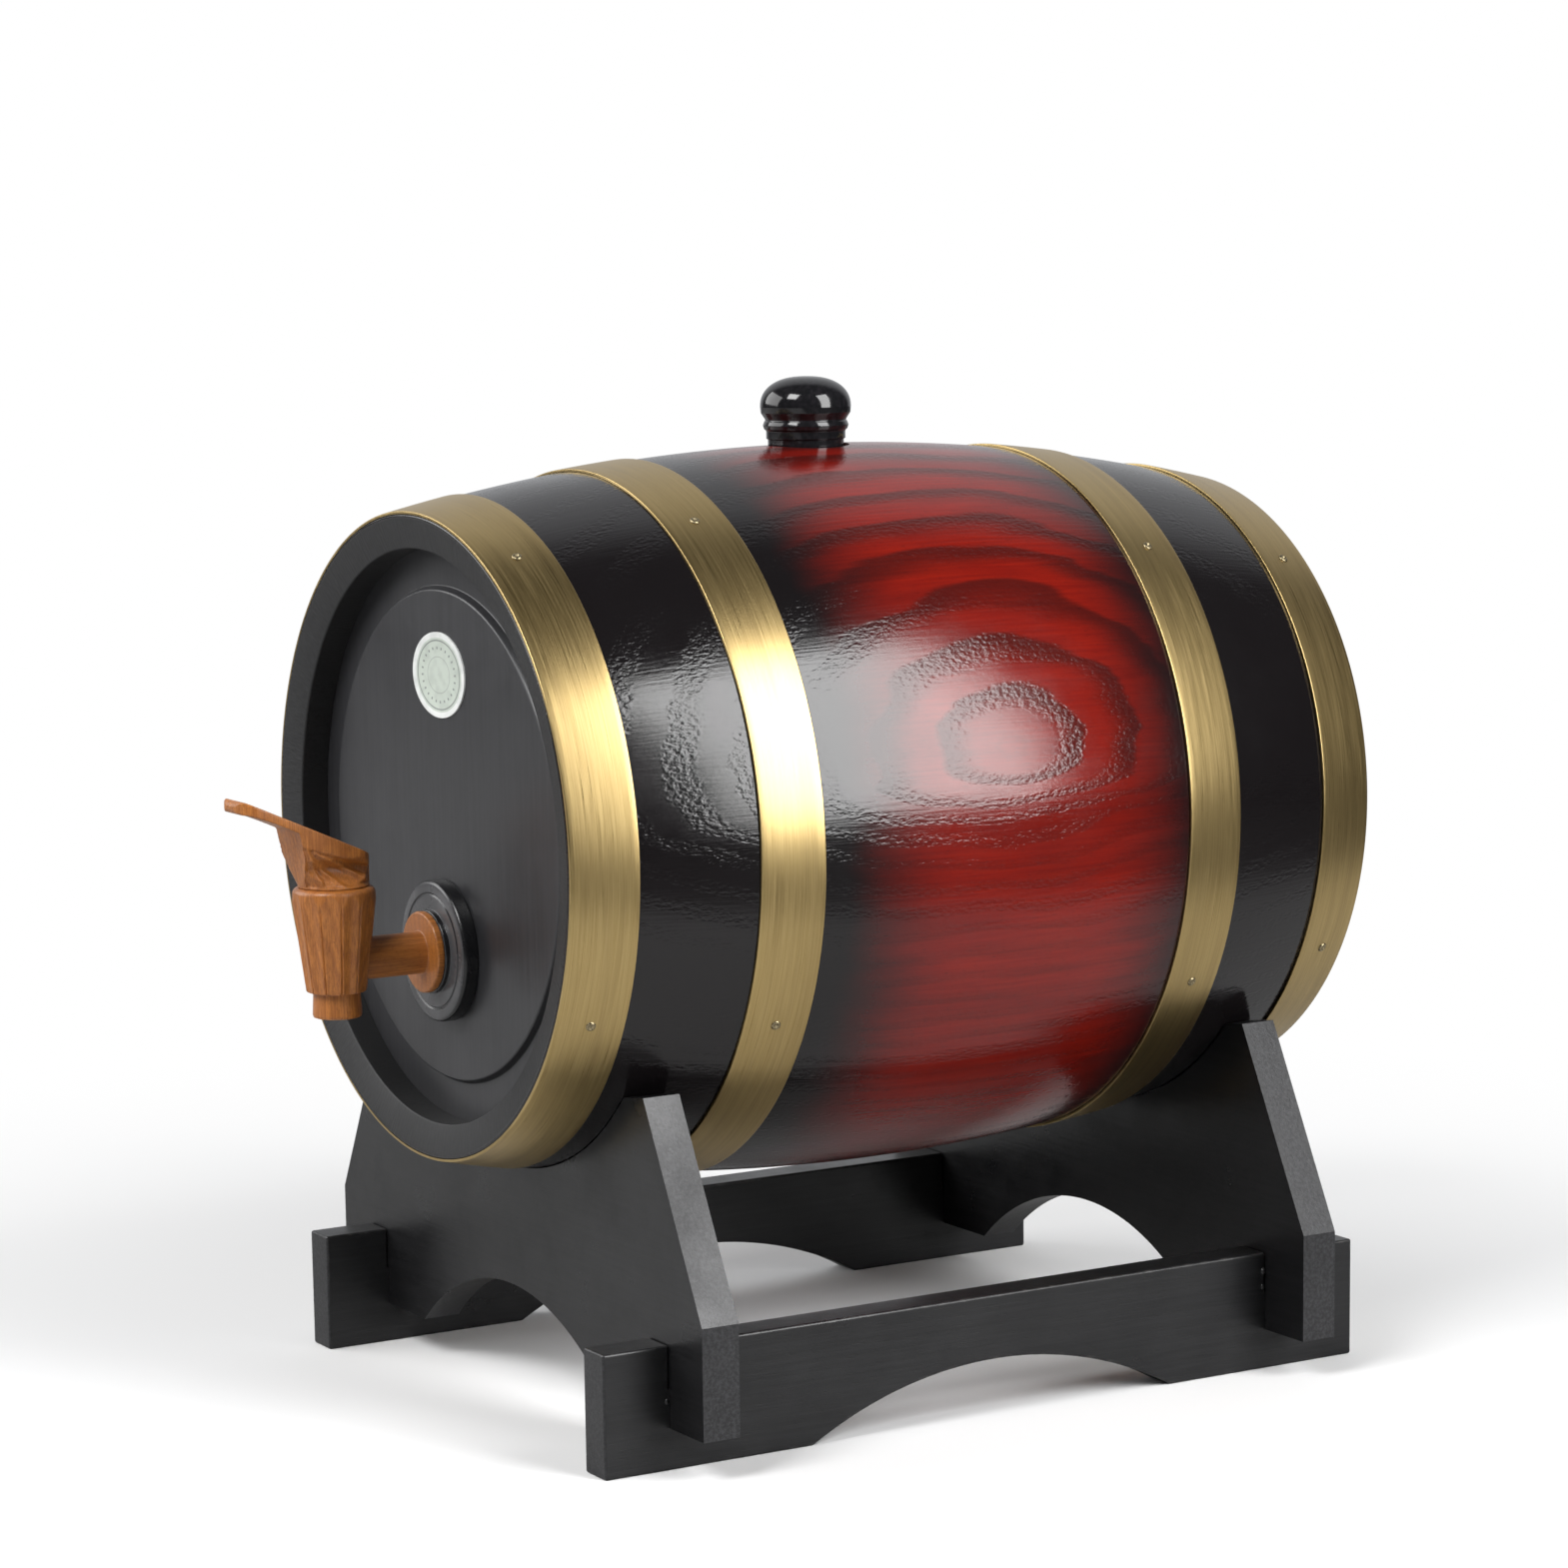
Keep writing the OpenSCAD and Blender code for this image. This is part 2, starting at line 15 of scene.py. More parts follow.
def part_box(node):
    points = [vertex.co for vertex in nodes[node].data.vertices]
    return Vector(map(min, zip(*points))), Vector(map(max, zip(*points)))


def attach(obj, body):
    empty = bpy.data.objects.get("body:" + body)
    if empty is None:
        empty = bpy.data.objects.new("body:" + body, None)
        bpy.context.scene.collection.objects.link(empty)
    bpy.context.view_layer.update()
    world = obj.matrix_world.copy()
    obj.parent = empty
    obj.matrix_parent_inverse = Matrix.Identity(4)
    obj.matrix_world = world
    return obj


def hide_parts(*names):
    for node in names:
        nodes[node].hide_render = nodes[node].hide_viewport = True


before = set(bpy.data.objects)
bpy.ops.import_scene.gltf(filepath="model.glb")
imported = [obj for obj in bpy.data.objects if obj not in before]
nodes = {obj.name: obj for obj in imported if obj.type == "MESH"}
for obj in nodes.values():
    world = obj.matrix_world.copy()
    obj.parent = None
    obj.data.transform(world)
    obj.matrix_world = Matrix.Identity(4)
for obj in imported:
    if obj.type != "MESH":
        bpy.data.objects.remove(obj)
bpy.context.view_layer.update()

# %% [markdown]
# ## Sizes that every piece shares
#
# Sizes could be typed again here, but then they could drift away from the frame. Most are read
# from the boxes of the frame's parts instead. The cask lies along Y. Its outline from rim to rim
# is one arc, so three numbers give the radius anywhere along it.

# %% Sizes read from the frame
MM = 0.001
GAP = 0.1 * MM
END_R = 95.6 * MM


def box_middle(node, axis):
    """Middle of a node's box along one axis (0 is X, 1 is Y, 2 is Z)."""
    low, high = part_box(node)
    return (low[axis] + high[axis]) / 2


front_low, front_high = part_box("hoop_front_end")
rear_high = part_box("hoop_rear_end")[1]
HALF = (rear_high.y - front_low.y) / 2
CASK_Y = (rear_high.y + front_low.y) / 2
HOOP_W = front_high.y - front_low.y
QUARTER_Y = (box_middle("hoop_rear_quarter", 1) - box_middle("hoop_front_quarter", 1)) / 2
top_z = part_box("stave_1")[1].z
base_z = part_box("stave_9")[0].z
AXIS_Z = (top_z + base_z) / 2
BELLY_R = (top_z - base_z) / 2
ARC_R = (HALF ** 2 + (BELLY_R - END_R) ** 2) / (2 * (BELLY_R - END_R))


def cask_r(y):
    """Outside radius of the cask, y metres from its middle."""
    return BELLY_R - ARC_R + math.sqrt(ARC_R ** 2 - y ** 2)


print("half length %.4f  axis height %.4f  belly %.4f  rim %.4f" % (HALF, AXIS_Z, cask_r(0), cask_r(HALF)))

# %% [markdown]
# ## The camera
#
# The photograph looks at the cask from its right front, a little from above, with a long lens.
# The lens's axis meets the picture below its middle, so the picture is shifted upwards on the
# sensor instead of tilting the camera.

# %% Camera at the photograph's angle
CAMERA_AT = Vector((1.1942, -0.6905, 0.3514))
CAMERA_BEARING = 59.38
CAMERA_RISE = 9.83
CAMERA_ROLL = math.radians(-0.79)
PICTURE = 1569
FOCAL_PIXELS = 4504.0
AXIS_ROW = 1009.7
SENSOR = 36.0


def toward(bearing, rise):
    """Direction in degrees: bearing 0 is the tap's side and 90 is +X, and rise is the angle up."""
    b = math.radians(bearing)
    e = math.radians(rise)
    return Vector((math.sin(b) * math.cos(e), -math.cos(b) * math.cos(e), math.sin(e)))


def added(name, data):
    """A new object in the scene."""
    obj = bpy.data.objects.new(name, data)
    bpy.context.scene.collection.objects.link(obj)
    return obj


lens = bpy.data.cameras.new("camera")
camera = added("camera", lens)
bpy.context.scene.camera = camera
lens.sensor_width = SENSOR
lens.lens = SENSOR * FOCAL_PIXELS / PICTURE
lens.shift_y = (AXIS_ROW - PICTURE / 2) / PICTURE
lens.clip_start = 0.05
lens.clip_end = 30.0
backwards = toward(CAMERA_BEARING, CAMERA_RISE)
level_right = toward(CAMERA_BEARING + 90, 0)
level_up = backwards.cross(level_right)
right = level_right * math.cos(CAMERA_ROLL) + level_up * math.sin(CAMERA_ROLL)
up = level_up * math.cos(CAMERA_ROLL) - level_right * math.sin(CAMERA_ROLL)
camera.matrix_world = Matrix.Translation(CAMERA_AT) @ Matrix((right, up, backwards)).transposed().to_4x4()
print("lens %.1f mm, shift %.4f" % (lens.lens, lens.shift_y))

# %% [markdown]
# ## A short way to write nodes
#
# A finish is a small machine of nodes, and wiring each one by hand takes three lines. This class
# adds a node, sets it and joins it in one line, so that a material reads like a sum. It serves the
# floor and the background as well.

# %% The node writer
class Tree:
    """Adds and joins nodes in one node tree."""

    def __init__(self, tree):
        self.tree = tree

    def add(self, kind, settings=None, **values):
        node = self.tree.nodes.new(kind)
        for name, value in (settings or {}).items():
            setattr(node, name, value)
        for name, value in values.items():
            self.put(node.inputs[name.replace("_", " ")], value)
        return node

    def put(self, socket, value):
        if isinstance(value, bpy.types.NodeSocket):
            self.tree.links.new(value, socket)
        else:
            socket.default_value = value

    def fill(self, node, *values):
        """Fills a node's inputs in their order."""
        for socket, value in zip(node.inputs, values):
            self.put(socket, value)
        return node

    def math(self, operation, a, b=0.0):
        return self.fill(self.add("ShaderNodeMath", {"operation": operation}), a, b).outputs[0]

    def plus(self, a, b):
        return self.math("ADD", a, b)

    def minus(self, a, b):
        return self.math("SUBTRACT", a, b)

    def times(self, a, b):
        return self.math("MULTIPLY", a, b)

    def over(self, a, b):
        return self.math("DIVIDE", a, b)

    def long_side(self, a, b):
        """The long side of a right triangle, which is also a distance from two steps."""
        return self.math("SQRT", self.plus(self.math("POWER", a, 2.0), self.math("POWER", b, 2.0)))

    def remap(self, value, low, high, to_low=0.0, to_high=1.0, smooth=True):
        node = self.add("ShaderNodeMapRange", {"interpolation_type": "SMOOTHSTEP" if smooth else "LINEAR"})
        return self.fill(node, value, low, high, to_low, to_high).outputs["Result"]

    def mix(self, factor, a, b):
        node = self.add("ShaderNodeMix", {"data_type": "RGBA"})
        self.put(node.inputs[0], factor)
        self.put(node.inputs[6], a)
        self.put(node.inputs[7], b)
        return node.outputs[2]

    def combine(self, x, y, z):
        return self.fill(self.add("ShaderNodeCombineXYZ"), x, y, z).outputs[0]

    def split(self, vector):
        return self.fill(self.add("ShaderNodeSeparateXYZ"), vector).outputs

    def scaled(self, parts, scales):
        """A place made of three parts, each times its own scale."""
        return self.combine(*[self.times(part, scale) for part, scale in zip(parts, scales)])

    def dot(self, a, b):
        node = self.add("ShaderNodeVectorMath", {"operation": "DOT_PRODUCT"})
        return self.fill(node, a, b).outputs["Value"]

    def noise(self, vector, scale, detail=3.0, roughness=0.5):
        return self.add("ShaderNodeTexNoise", Vector=vector, Scale=scale, Detail=detail,
                        Roughness=roughness).outputs["Fac"]

    def place(self):
        """Position on the resting object, in metres."""
        return self.add("ShaderNodeTexCoord").outputs["Object"]

    def group(self, group, **values):
        return self.add("ShaderNodeGroup", {"node_tree": group}, **values).outputs

    def mix_shader(self, factor, a, b):
        return self.fill(self.add("ShaderNodeMixShader"), factor, a, b).outputs[0]


def new_material(name, **fixed):
    """A material with one Principled shader and its fixed numbers. Returns it, a Tree and the shader."""
    material = bpy.data.materials.new(name)
    material.use_nodes = True
    shader = material.node_tree.nodes["Principled BSDF"]
    for socket, value in fixed.items():
        shader.inputs[socket.replace("_", " ")].default_value = value
    print("material:", name)
    return material, Tree(material.node_tree), shader


# %% [markdown]
# ## Light, floor and background
#
# The lacquer mirrors whatever stands round the cask, so the lights are placed by their
# reflections. One tall soft box on the right gives the broad white patch on the shoulder, a white
# wall behind gives the veil along the top, and the pale floor gives the one along the bottom.
# The background is made white for the camera alone, so it adds no light to the object.

# %% Soft boxes
CASK_MIDDLE = Vector((0.0, CASK_Y, AXIS_Z))


def soft_box(name, bearing, rise, distance, width, height, power):
    """A rectangular lamp that shines at the middle of the cask."""
    lamp = bpy.data.lights.new(name, "AREA")
    lamp.shape = "RECTANGLE"
    lamp.size = width
    lamp.size_y = height
    lamp.energy = power
    at = CASK_MIDDLE + toward(bearing, rise) * distance
    holder = added(name, lamp)
    holder.location = at
    holder.rotation_euler = (CASK_MIDDLE - at).to_track_quat("-Z", "Y").to_euler()


soft_box("key_box", 112, 27, 1.7, 0.78, 1.5, 38)
soft_box("front_box", -40, 24, 2.4, 2.2, 1.4, 37)
soft_box("window_box", 19, 47, 1.8, 0.7, 0.7, 22)
print("lamps:", len(bpy.data.lights))

# %% World: a dark room with one pale wall, white to the camera
bpy.context.scene.view_settings.view_transform = "Standard"
WALL_BEARING = -122
WALL_RISE = 22
WALL_STOPS = ((0.60, (0.045, 0.046, 0.049, 1)), (0.86, (0.60, 0.61, 0.63, 1)))
world = bpy.data.worlds.new("studio")
bpy.context.scene.world = world
world.use_nodes = True
world.node_tree.nodes.clear()
t = Tree(world.node_tree)
looking = t.add("ShaderNodeTexCoord").outputs["Generated"]
room = t.add("ShaderNodeValToRGB", Fac=t.dot(looking, toward(WALL_BEARING, WALL_RISE)))
room.color_ramp.interpolation = "EASE"
for stop, (position, colour) in zip(room.color_ramp.elements, WALL_STOPS):
    stop.position = position
    stop.color = colour
lit = t.add("ShaderNodeBackground", Color=room.outputs["Color"]).outputs[0]
white = t.add("ShaderNodeBackground", Color=(1, 1, 1, 1)).outputs[0]
to_camera = t.add("ShaderNodeLightPath").outputs["Is Camera Ray"]
t.add("ShaderNodeOutputWorld", Surface=t.mix_shader(to_camera, lit, white))
print("world:", world.name)

# %% Floor
FLOOR_HALF = 3.0
SHADOW_REACH = (0.16, 0.60)
PAPER_BEARING = 119
PAPER_END = (0.34, 0.58)
corners = [(x * FLOOR_HALF, y * FLOOR_HALF, 0) for x, y in ((-1, -1), (1, -1), (1, 1), (-1, 1))]
sheet = bpy.data.meshes.new("floor")
sheet.from_pydata(corners, [], [(0, 1, 2, 3)])
floor = added("floor", sheet)
material, t, shader = new_material("floor", Roughness=0.9, Specular_IOR_Level=0.1)
sheet.materials.append(material)
where = t.place()
# on the right the paper ends early, which the gloss shows as a dark band over the bright one
paper = t.remap(t.dot(where, toward(PAPER_BEARING, 0)), *PAPER_END, 0.46, 0.05)
# the gloss sees a grey paper, the camera a white one
to_camera = t.add("ShaderNodeLightPath").outputs["Is Camera Ray"]
t.put(shader.inputs["Base Color"], t.remap(to_camera, 0.0, 1.0, paper, 0.88, smooth=False))
# away from the object's shadow the camera sees the floor as plain white
distance = t.fill(t.add("ShaderNodeVectorMath", {"operation": "LENGTH"}), where).outputs["Value"]
glow = t.add("ShaderNodeEmission").outputs[0]
plain = t.times(t.remap(distance, *SHADOW_REACH), to_camera)
t.put(t.tree.nodes["Material Output"].inputs["Surface"], t.mix_shader(plain, shader.outputs[0], glow))

# %% [markdown]
# ## Small tools for making meshes
#
# Almost every piece here is turned on a lathe or sawn out of a board. A turned piece is an
# outline swept round an axis, and a sawn piece is an outline given a thickness and broken edges.
# Corners are rounded in the outline itself, because an edge that catches the light is what makes
# a piece look real.

# %% Outlines
def rounded(points, radii, steps=5):
    """The outline through points, each corner rounded by its own radius (0 keeps it sharp)."""
    out = []
    for i, point in enumerate(points):
        here = Vector(point)
        before = Vector(points[i - 1]) - here
        after = Vector(points[(i + 1) % len(points)]) - here
        if radii[i] <= 0 or before.length < 1e-9 or after.length < 1e-9:
            out.append(tuple(here))
            continue
        before_dir = before.normalized()
        after_dir = after.normalized()
        half = math.acos(max(-1.0, min(1.0, before_dir.dot(after_dir)))) / 2
        cut = min(radii[i] / math.tan(half), before.length * 0.49, after.length * 0.49)
        start = here + before_dir * cut
        end = here + after_dir * cut
        for k in range(steps + 1):
            share = k / steps
            # a quadratic curve through the corner is a good stand-in for a small arc
            out.append(tuple(start * (1 - share) ** 2 + here * 2 * share * (1 - share) + end * share ** 2))
    return out


def arc_points(centre, radius, start_angle, end_angle, steps):
    """Points on an arc, angles in degrees."""
    points = []
    for k in range(steps + 1):
        a = math.radians(start_angle + (end_angle - start_angle) * k / steps)
        points.append((centre[0] + radius * math.cos(a), centre[1] + radius * math.sin(a)))
    return points


print("outline tools ready")


# %% Turned pieces and plain blocks
def smooth(mesh, sharp_angle):
    """Shades a mesh smooth, but for edges sharper than the angle."""
    mesh.polygons.foreach_set("use_smooth", [True] * len(mesh.polygons))
    mesh.set_sharp_from_angle(angle=math.radians(sharp_angle))


def new_piece(name, verts, faces, sharp_angle=35):
    """A mesh object from raw geometry."""
    mesh = bpy.data.meshes.new(name)
    mesh.from_pydata(verts, [], faces)
    mesh.validate()
    work = bmesh.new()
    work.from_mesh(mesh)
    bmesh.ops.remove_doubles(work, verts=work.verts, dist=1e-7)
    bmesh.ops.recalc_face_normals(work, faces=work.faces)
    work.to_mesh(mesh)
    work.free()
    smooth(mesh, sharp_angle)
    return added(name, mesh)


def ring_faces(rings, count, last_joins_first, closed):
    """Faces between neighbouring copies of an outline of count points."""
    faces = []
    for s in range(rings if last_joins_first else rings - 1):
        t = (s + 1) % rings
        for i in range(count if closed else count - 1):
            j = (i + 1) % count
            faces.append((s * count + i, s * count + j, t * count + j, t * count + i))
    return faces


def turned(name, outline, to_frame, segments=96, closed=True):
    """Sweeps an outline of (radius, height) pairs round Z, then moves it into place.
    A closed outline makes a ring; an open one starts and ends on the axis."""
    verts = []
    for s in range(segments):
        a = 2 * math.pi * s / segments
        verts += [to_frame @ Vector((r * math.cos(a), r * math.sin(a), h)) for r, h in outline]
    return new_piece(name, verts, ring_faces(segments, len(outline), True, closed))


def drill(radius, low, high, to_frame, segments):
    """A plain round tool for cutting a hole."""
    outline = [(0, low), (radius, low), (radius, high), (0, high)]
    return turned("drill", outline, to_frame, segments=segments, closed=False)


def plain_block(name, outline, thickness, to_frame):
    """An outline of (x, y) pairs with a thickness along Z and no broken edges."""
    verts = [to_frame @ Vector((x, y, z)) for z in (0, thickness) for x, y in outline]
    n = len(outline)
    faces = [tuple(range(n)), tuple(2 * n - 1 - i for i in range(n))]
    faces += [(i, (i + 1) % n, n + (i + 1) % n, n + i) for i in range(n)]
    return new_piece(name, verts, faces)


print("mesh tools ready")


# %% Modifiers, cuts and the record of each piece
def modified(obj, kind, **settings):
    """Runs one modifier and makes its result the object's own mesh."""
    step = obj.modifiers.new("step", kind)
    for name, value in settings.items():
        setattr(step, name, value)
    graph = bpy.context.evaluated_depsgraph_get()
    made = bpy.data.meshes.new_from_object(obj.evaluated_get(graph), preserve_all_data_layers=True,
                                           depsgraph=graph)
    made.name = obj.name
    obj.modifiers.clear()
    obj.data = made
    return obj


def cut_by(base, tool, operation="DIFFERENCE"):
    """A boolean of two pieces; the tool is used up."""
    modified(base, "BOOLEAN", object=tool, operation=operation, solver="EXACT")
    bpy.data.objects.remove(tool)
    return base


def stands_for(obj, body, slot, material, *replaced):
    """Sets what every new piece needs: its material, body and the plain parts it replaces. The slot is not
    used.
    """
    obj.data.materials.clear()
    obj.data.materials.append(material)
    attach(obj, body)
    if replaced:
        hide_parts(*replaced)
    return obj


def moved(x, y, z):
    return Matrix.Translation((x, y, z))


# A shape drawn round Z points along the cask, out of its front, or to its right after these turns
TO_REAR = Matrix.Rotation(math.radians(-90), 4, "X")
TO_FRONT = Matrix.Rotation(math.pi / 2, 4, "X")
TO_SIDE = Matrix.Rotation(math.pi / 2, 4, "Y")
ALONG_CASK = moved(0, CASK_Y, AXIS_Z) @ TO_REAR
print("piece tools ready")

# %% [markdown]
# ## Shader groups
#
# Several finishes share the same effects, so each effect is a node group with named inputs.
# A group hands out only colours, masks and heights. The glossy shader itself stays in each
# material, where its fixed numbers can be read one by one.

# %% Starting a group
FLOAT = "NodeSocketFloat"
VECTOR = "NodeSocketVector"
COLOUR = "NodeSocketColor"


def new_group(name, inputs, outputs):
    """An empty node group. inputs and outputs are (name, socket type, default) rows."""
    tree = bpy.data.node_groups.new(name, "ShaderNodeTree")
    for socket_name, kind, default in inputs:
        socket = tree.interface.new_socket(name=socket_name, in_out="INPUT", socket_type=kind)
        if default is not None:
            socket.default_value = default
    for socket_name, kind in outputs:
        tree.interface.new_socket(name=socket_name, in_out="OUTPUT", socket_type=kind)
    given = tree.nodes.new("NodeGroupInput").outputs
    out = tree.nodes.new("NodeGroupOutput").inputs
    print("group:", name)
    return tree, Tree(tree), given, out


# %% Group: where a point lies on the cask
cask_map, t, given, out = new_group(
    "where_on_cask", [("Point", VECTOR, None)],
    [("Round", FLOAT), ("Along", FLOAT), ("Radius", FLOAT), ("Ring", VECTOR)])
x, y, z = t.split(given["Point"])
across_x = t.over(x, MM)
across_z = t.over(t.minus(z, AXIS_Z), MM)
radius = t.long_side(across_x, across_z)
# millimetres round the belly from the top towards +X, and along it from the middle
t.put(out["Round"], t.times(t.math("ARCTAN2", across_x, across_z), BELLY_R / MM))
t.put(out["Along"], t.over(t.minus(y, CASK_Y), MM))
t.put(out["Radius"], radius)
t.put(out["Ring"], t.combine(t.over(across_x, radius), t.over(across_z, radius), 0.0))

# %% Group: fibres and pores of straight-grained wood
fibres, t, given, out = new_group(
    "wood_fibres",
    [("Across", FLOAT, 0.0), ("Depth", FLOAT, 0.0), ("Along", FLOAT, 0.0), ("Fineness", FLOAT, 1.0)],
    [("Streaks", FLOAT), ("Pores", FLOAT)])
fine = given["Fineness"]
grain_parts = (given["Across"], given["Depth"], given["Along"])
streak_place = t.scaled(grain_parts, (fine, fine, t.times(fine, 0.035)))
pore_place = t.scaled(grain_parts, (t.times(fine, 1.6), fine, t.times(fine, 0.16)))
t.put(out["Streaks"], t.remap(t.noise(streak_place, 1.1, detail=4.0, roughness=0.6), 0.3, 0.7))
t.put(out["Pores"], t.remap(t.noise(pore_place, 2.2, detail=2.0), 0.58, 0.74))

# %% Group: turned and sawn edges that have lost their finish
worn, t, given, out = new_group(
    "edge_wear",
    [("Colour", COLOUR, (0.05, 0.05, 0.05, 1)), ("Worn Colour", COLOUR, (0.2, 0.2, 0.2, 1)),
     ("Amount", FLOAT, 0.3), ("Scale", FLOAT, 300.0)],
    [("Colour", COLOUR)])
# on a round edge the smooth normal and the flat face's own normal disagree
surface = t.add("ShaderNodeNewGeometry").outputs
bent = t.minus(1.0, t.dot(surface["Normal"], surface["True Normal"]))
patches = t.remap(t.noise(t.place(), given["Scale"], detail=3.0), 0.45, 0.75)
mask = t.times(t.times(t.remap(bent, 0.003, 0.012), patches), given["Amount"])
t.put(out["Colour"], t.mix(mask, given["Colour"], given["Worn Colour"]))

# %% Group: dust and finger marks that break up a gloss
smudges, t, given, out = new_group(
    "gloss_variation",
    [("Smooth", FLOAT, 0.2), ("Dull", FLOAT, 0.35), ("Scale", FLOAT, 30.0)], [("Roughness", FLOAT)])
wide = t.noise(t.place(), given["Scale"], detail=4.0, roughness=0.65)
t.put(out["Roughness"], t.remap(wide, 0.35, 0.7, given["Smooth"], given["Dull"], smooth=False))


# %% What most finishes ask for, written into the material that was started last
def gloss(smooth_value, dull_value, scale):
    """Roughness broken up by dust and finger marks."""
    return t.group(smudges, Smooth=smooth_value, Dull=dull_value, Scale=scale)["Roughness"]


def bump(height, strength, distance):
    """Feeds a height into the shader's Normal."""
    node = t.add("ShaderNodeBump", Strength=strength, Distance=distance, Height=height)
    t.put(shader.inputs["Normal"], node.outputs["Normal"])


def along_grain(grain_axis):
    """Millimetres across, in depth and along the grain, which runs along one axis (0 is X)."""
    axes = [t.over(part, MM) for part in t.split(t.place())]
    along = axes.pop(grain_axis)
    return axes[0], axes[1], along


def wood_grain(parts, fineness):
    """Streaks and pores of wood at a place."""
    return t.group(fibres, Across=parts[0], Depth=parts[1], Along=parts[2], Fineness=fineness)


print("finish tools ready")

# %% [markdown]
# ## The lacquered staves
#
# A stave is sawn along the log, so its face shows nested ovals where it cuts the growth rings and
# straight lines further off. Here the ovals come from a distance to one line in the wood, pulled
# about by noise. The stain is red at the belly and goes to black at the hoops, and clear lacquer
# lies over both. The pores make a fine stipple that is only seen where a light is mirrored.

# %% The growth rings, in millimetres round the cask and along it
FIGURE_ROUND = 146.0
WANDER = 16.0
RING_ABOVE = 15.0
RING_UNDER = 7.0
RING_LENGTH = 21.0
stave_oak, t, shader = new_material("stave_oak")
place = t.place()
spot = t.group(cask_map, Point=place)
around = spot["Round"]
along = spot["Along"]


def oak_noise(round_scale, along_scale, detail, scale=1.0):
    """Noise on the staves, with one scale round the cask and another along it."""
    return t.noise(t.scaled((around, 0.0, along), (round_scale, 1.0, along_scale)), scale, detail=detail)


sideways = t.plus(around, t.times(oak_noise(0.018, 0.012, 2.0), WANDER))
sideways = t.minus(sideways, FIGURE_ROUND + WANDER / 2)
# below the oval the rings run closer and straighter
below = t.remap(sideways, 6.0, 26.0)
above_rows = t.over(sideways, RING_ABOVE)
under_rows = t.over(sideways, RING_UNDER)
rows = t.plus(above_rows, t.times(below, t.minus(under_rows, above_rows)))
rings = t.long_side(rows, t.over(along, RING_LENGTH))
rings = t.plus(rings, t.times(oak_noise(0.11, 0.018, 2.5), 0.7))
# each ring darkens slowly and ends at once, and the middle of the oval is one pale patch
saw = t.math("FRACT", t.plus(rings, 0.35))
late = t.times(t.remap(saw, 0.25, 0.8), t.remap(saw, 1.0, 0.86))
late = t.times(late, t.remap(rings, 0.45, 0.8))

# %% Red stain that fades to black
RED_MIDDLE = 6.5
RED_FULL = 24.0
RED_NONE = 64.0
LIGHT_RED = (0.205, 0.0085, 0.0034, 1)
DEEP_RED = (0.155, 0.0058, 0.0030, 1)
CLOUDY_RED = (0.085, 0.0050, 0.0040, 1)
RING_RED = (0.026, 0.0040, 0.0034, 1)
PORE_RED = (0.016, 0.003, 0.003, 1)
STAIN_BLACK = (0.0062, 0.0050, 0.0054, 1)
fibre = wood_grain((around, 0.0, along), 0.9)
from_middle = t.math("ABSOLUTE", t.minus(along, RED_MIDDLE))
from_middle = t.plus(from_middle, t.times(t.minus(oak_noise(0.09, 0.03, 3.0), 0.5), 9.0))
clouds = t.remap(oak_noise(0.05, 0.016, 3.0), 0.45, 0.7)
wood = t.mix(fibre["Streaks"], DEEP_RED, LIGHT_RED)
wood = t.mix(t.times(clouds, 0.4), wood, CLOUDY_RED)
wood = t.mix(t.times(late, t.remap(sideways, 4.0, 26.0, 0.70, 0.20)), wood, RING_RED)
wood = t.mix(t.times(fibre["Pores"], 0.4), wood, PORE_RED)
stained = t.mix(t.remap(from_middle, RED_NONE, RED_FULL), STAIN_BLACK, wood)
stipple = t.minus(oak_noise(1.0, 0.55, 2.0, scale=0.9), 0.5)
relief = t.times(stipple, t.plus(t.times(t.remap(late, 0.1, 0.6), 0.9), 0.08))
relief = t.plus(relief, t.times(fibre["Streaks"], 0.10))
bump(t.plus(relief, t.noise(place, 26.0, detail=1.0)), 0.75, 0.2 * MM)

# %% [markdown]
# The rims and the inside of a stave are not lacquered red. The end grain took the black paint and
# shows fine strokes across it, and the inside is bare and sooty. One material per slot keeps the
# piece simple, so these places are picked out by where they lie: beyond the last hoop's edge, or
# well inside the outer arc.

# %% Material: end grain and inside, blended by place
SOOT = (0.006, 0.006, 0.0065, 1)
outer_r = t.minus(BELLY_R / MM, t.over(t.times(along, along), 2 * ARC_R / MM))
inside = t.remap(t.minus(outer_r, spot["Radius"]), 0.9, 1.5)
strokes = t.noise(t.scaled((around, 0.0, spot["Radius"]), (1.7, 1.0, 0.35)), 1.0, detail=4.0)
end_colour = t.mix(t.remap(strokes, 0.35, 0.68), (0.003, 0.003, 0.0035, 1), (0.012, 0.012, 0.013, 1))
at_end = t.remap(t.math("ABSOLUTE", along), HALF / MM - 3.0, HALF / MM - 2.2)
t.put(shader.inputs["Base Color"], t.mix(inside, stained, t.mix(at_end, SOOT, end_colour)))
t.put(shader.inputs["Roughness"], t.plus(gloss(0.11, 0.20, 22.0), t.times(inside, 0.4)))
print("nodes in it:", len(t.tree.nodes))

# %% [markdown]
# ## Making the staves
#
# Sixteen staves stand round the heads. Each is a slice of one outline turned round the cask's
# axis. The outline has the sloping rim, the groove for the head and the thinner middle. On the
# outer face the normals are worked out from the arc instead of from the flat facets. Light then
# runs over the joints between staves without a break.

# %% A stave's outline
RIM_R = END_R - 10.1 * MM
FACE = HALF - 11.4 * MM
TONGUE_T = 6 * MM
GROOVE_DEEP = 3.1 * MM
STAVE_T = 10 * MM


def arc_part(start, end, steps, offset=0.0):
    """Points of the cask's arc between two places along it."""
    places = [start + (end - start) * k / steps for k in range(steps + 1)]
    return [(cask_r(y) + offset, y) for y in places]


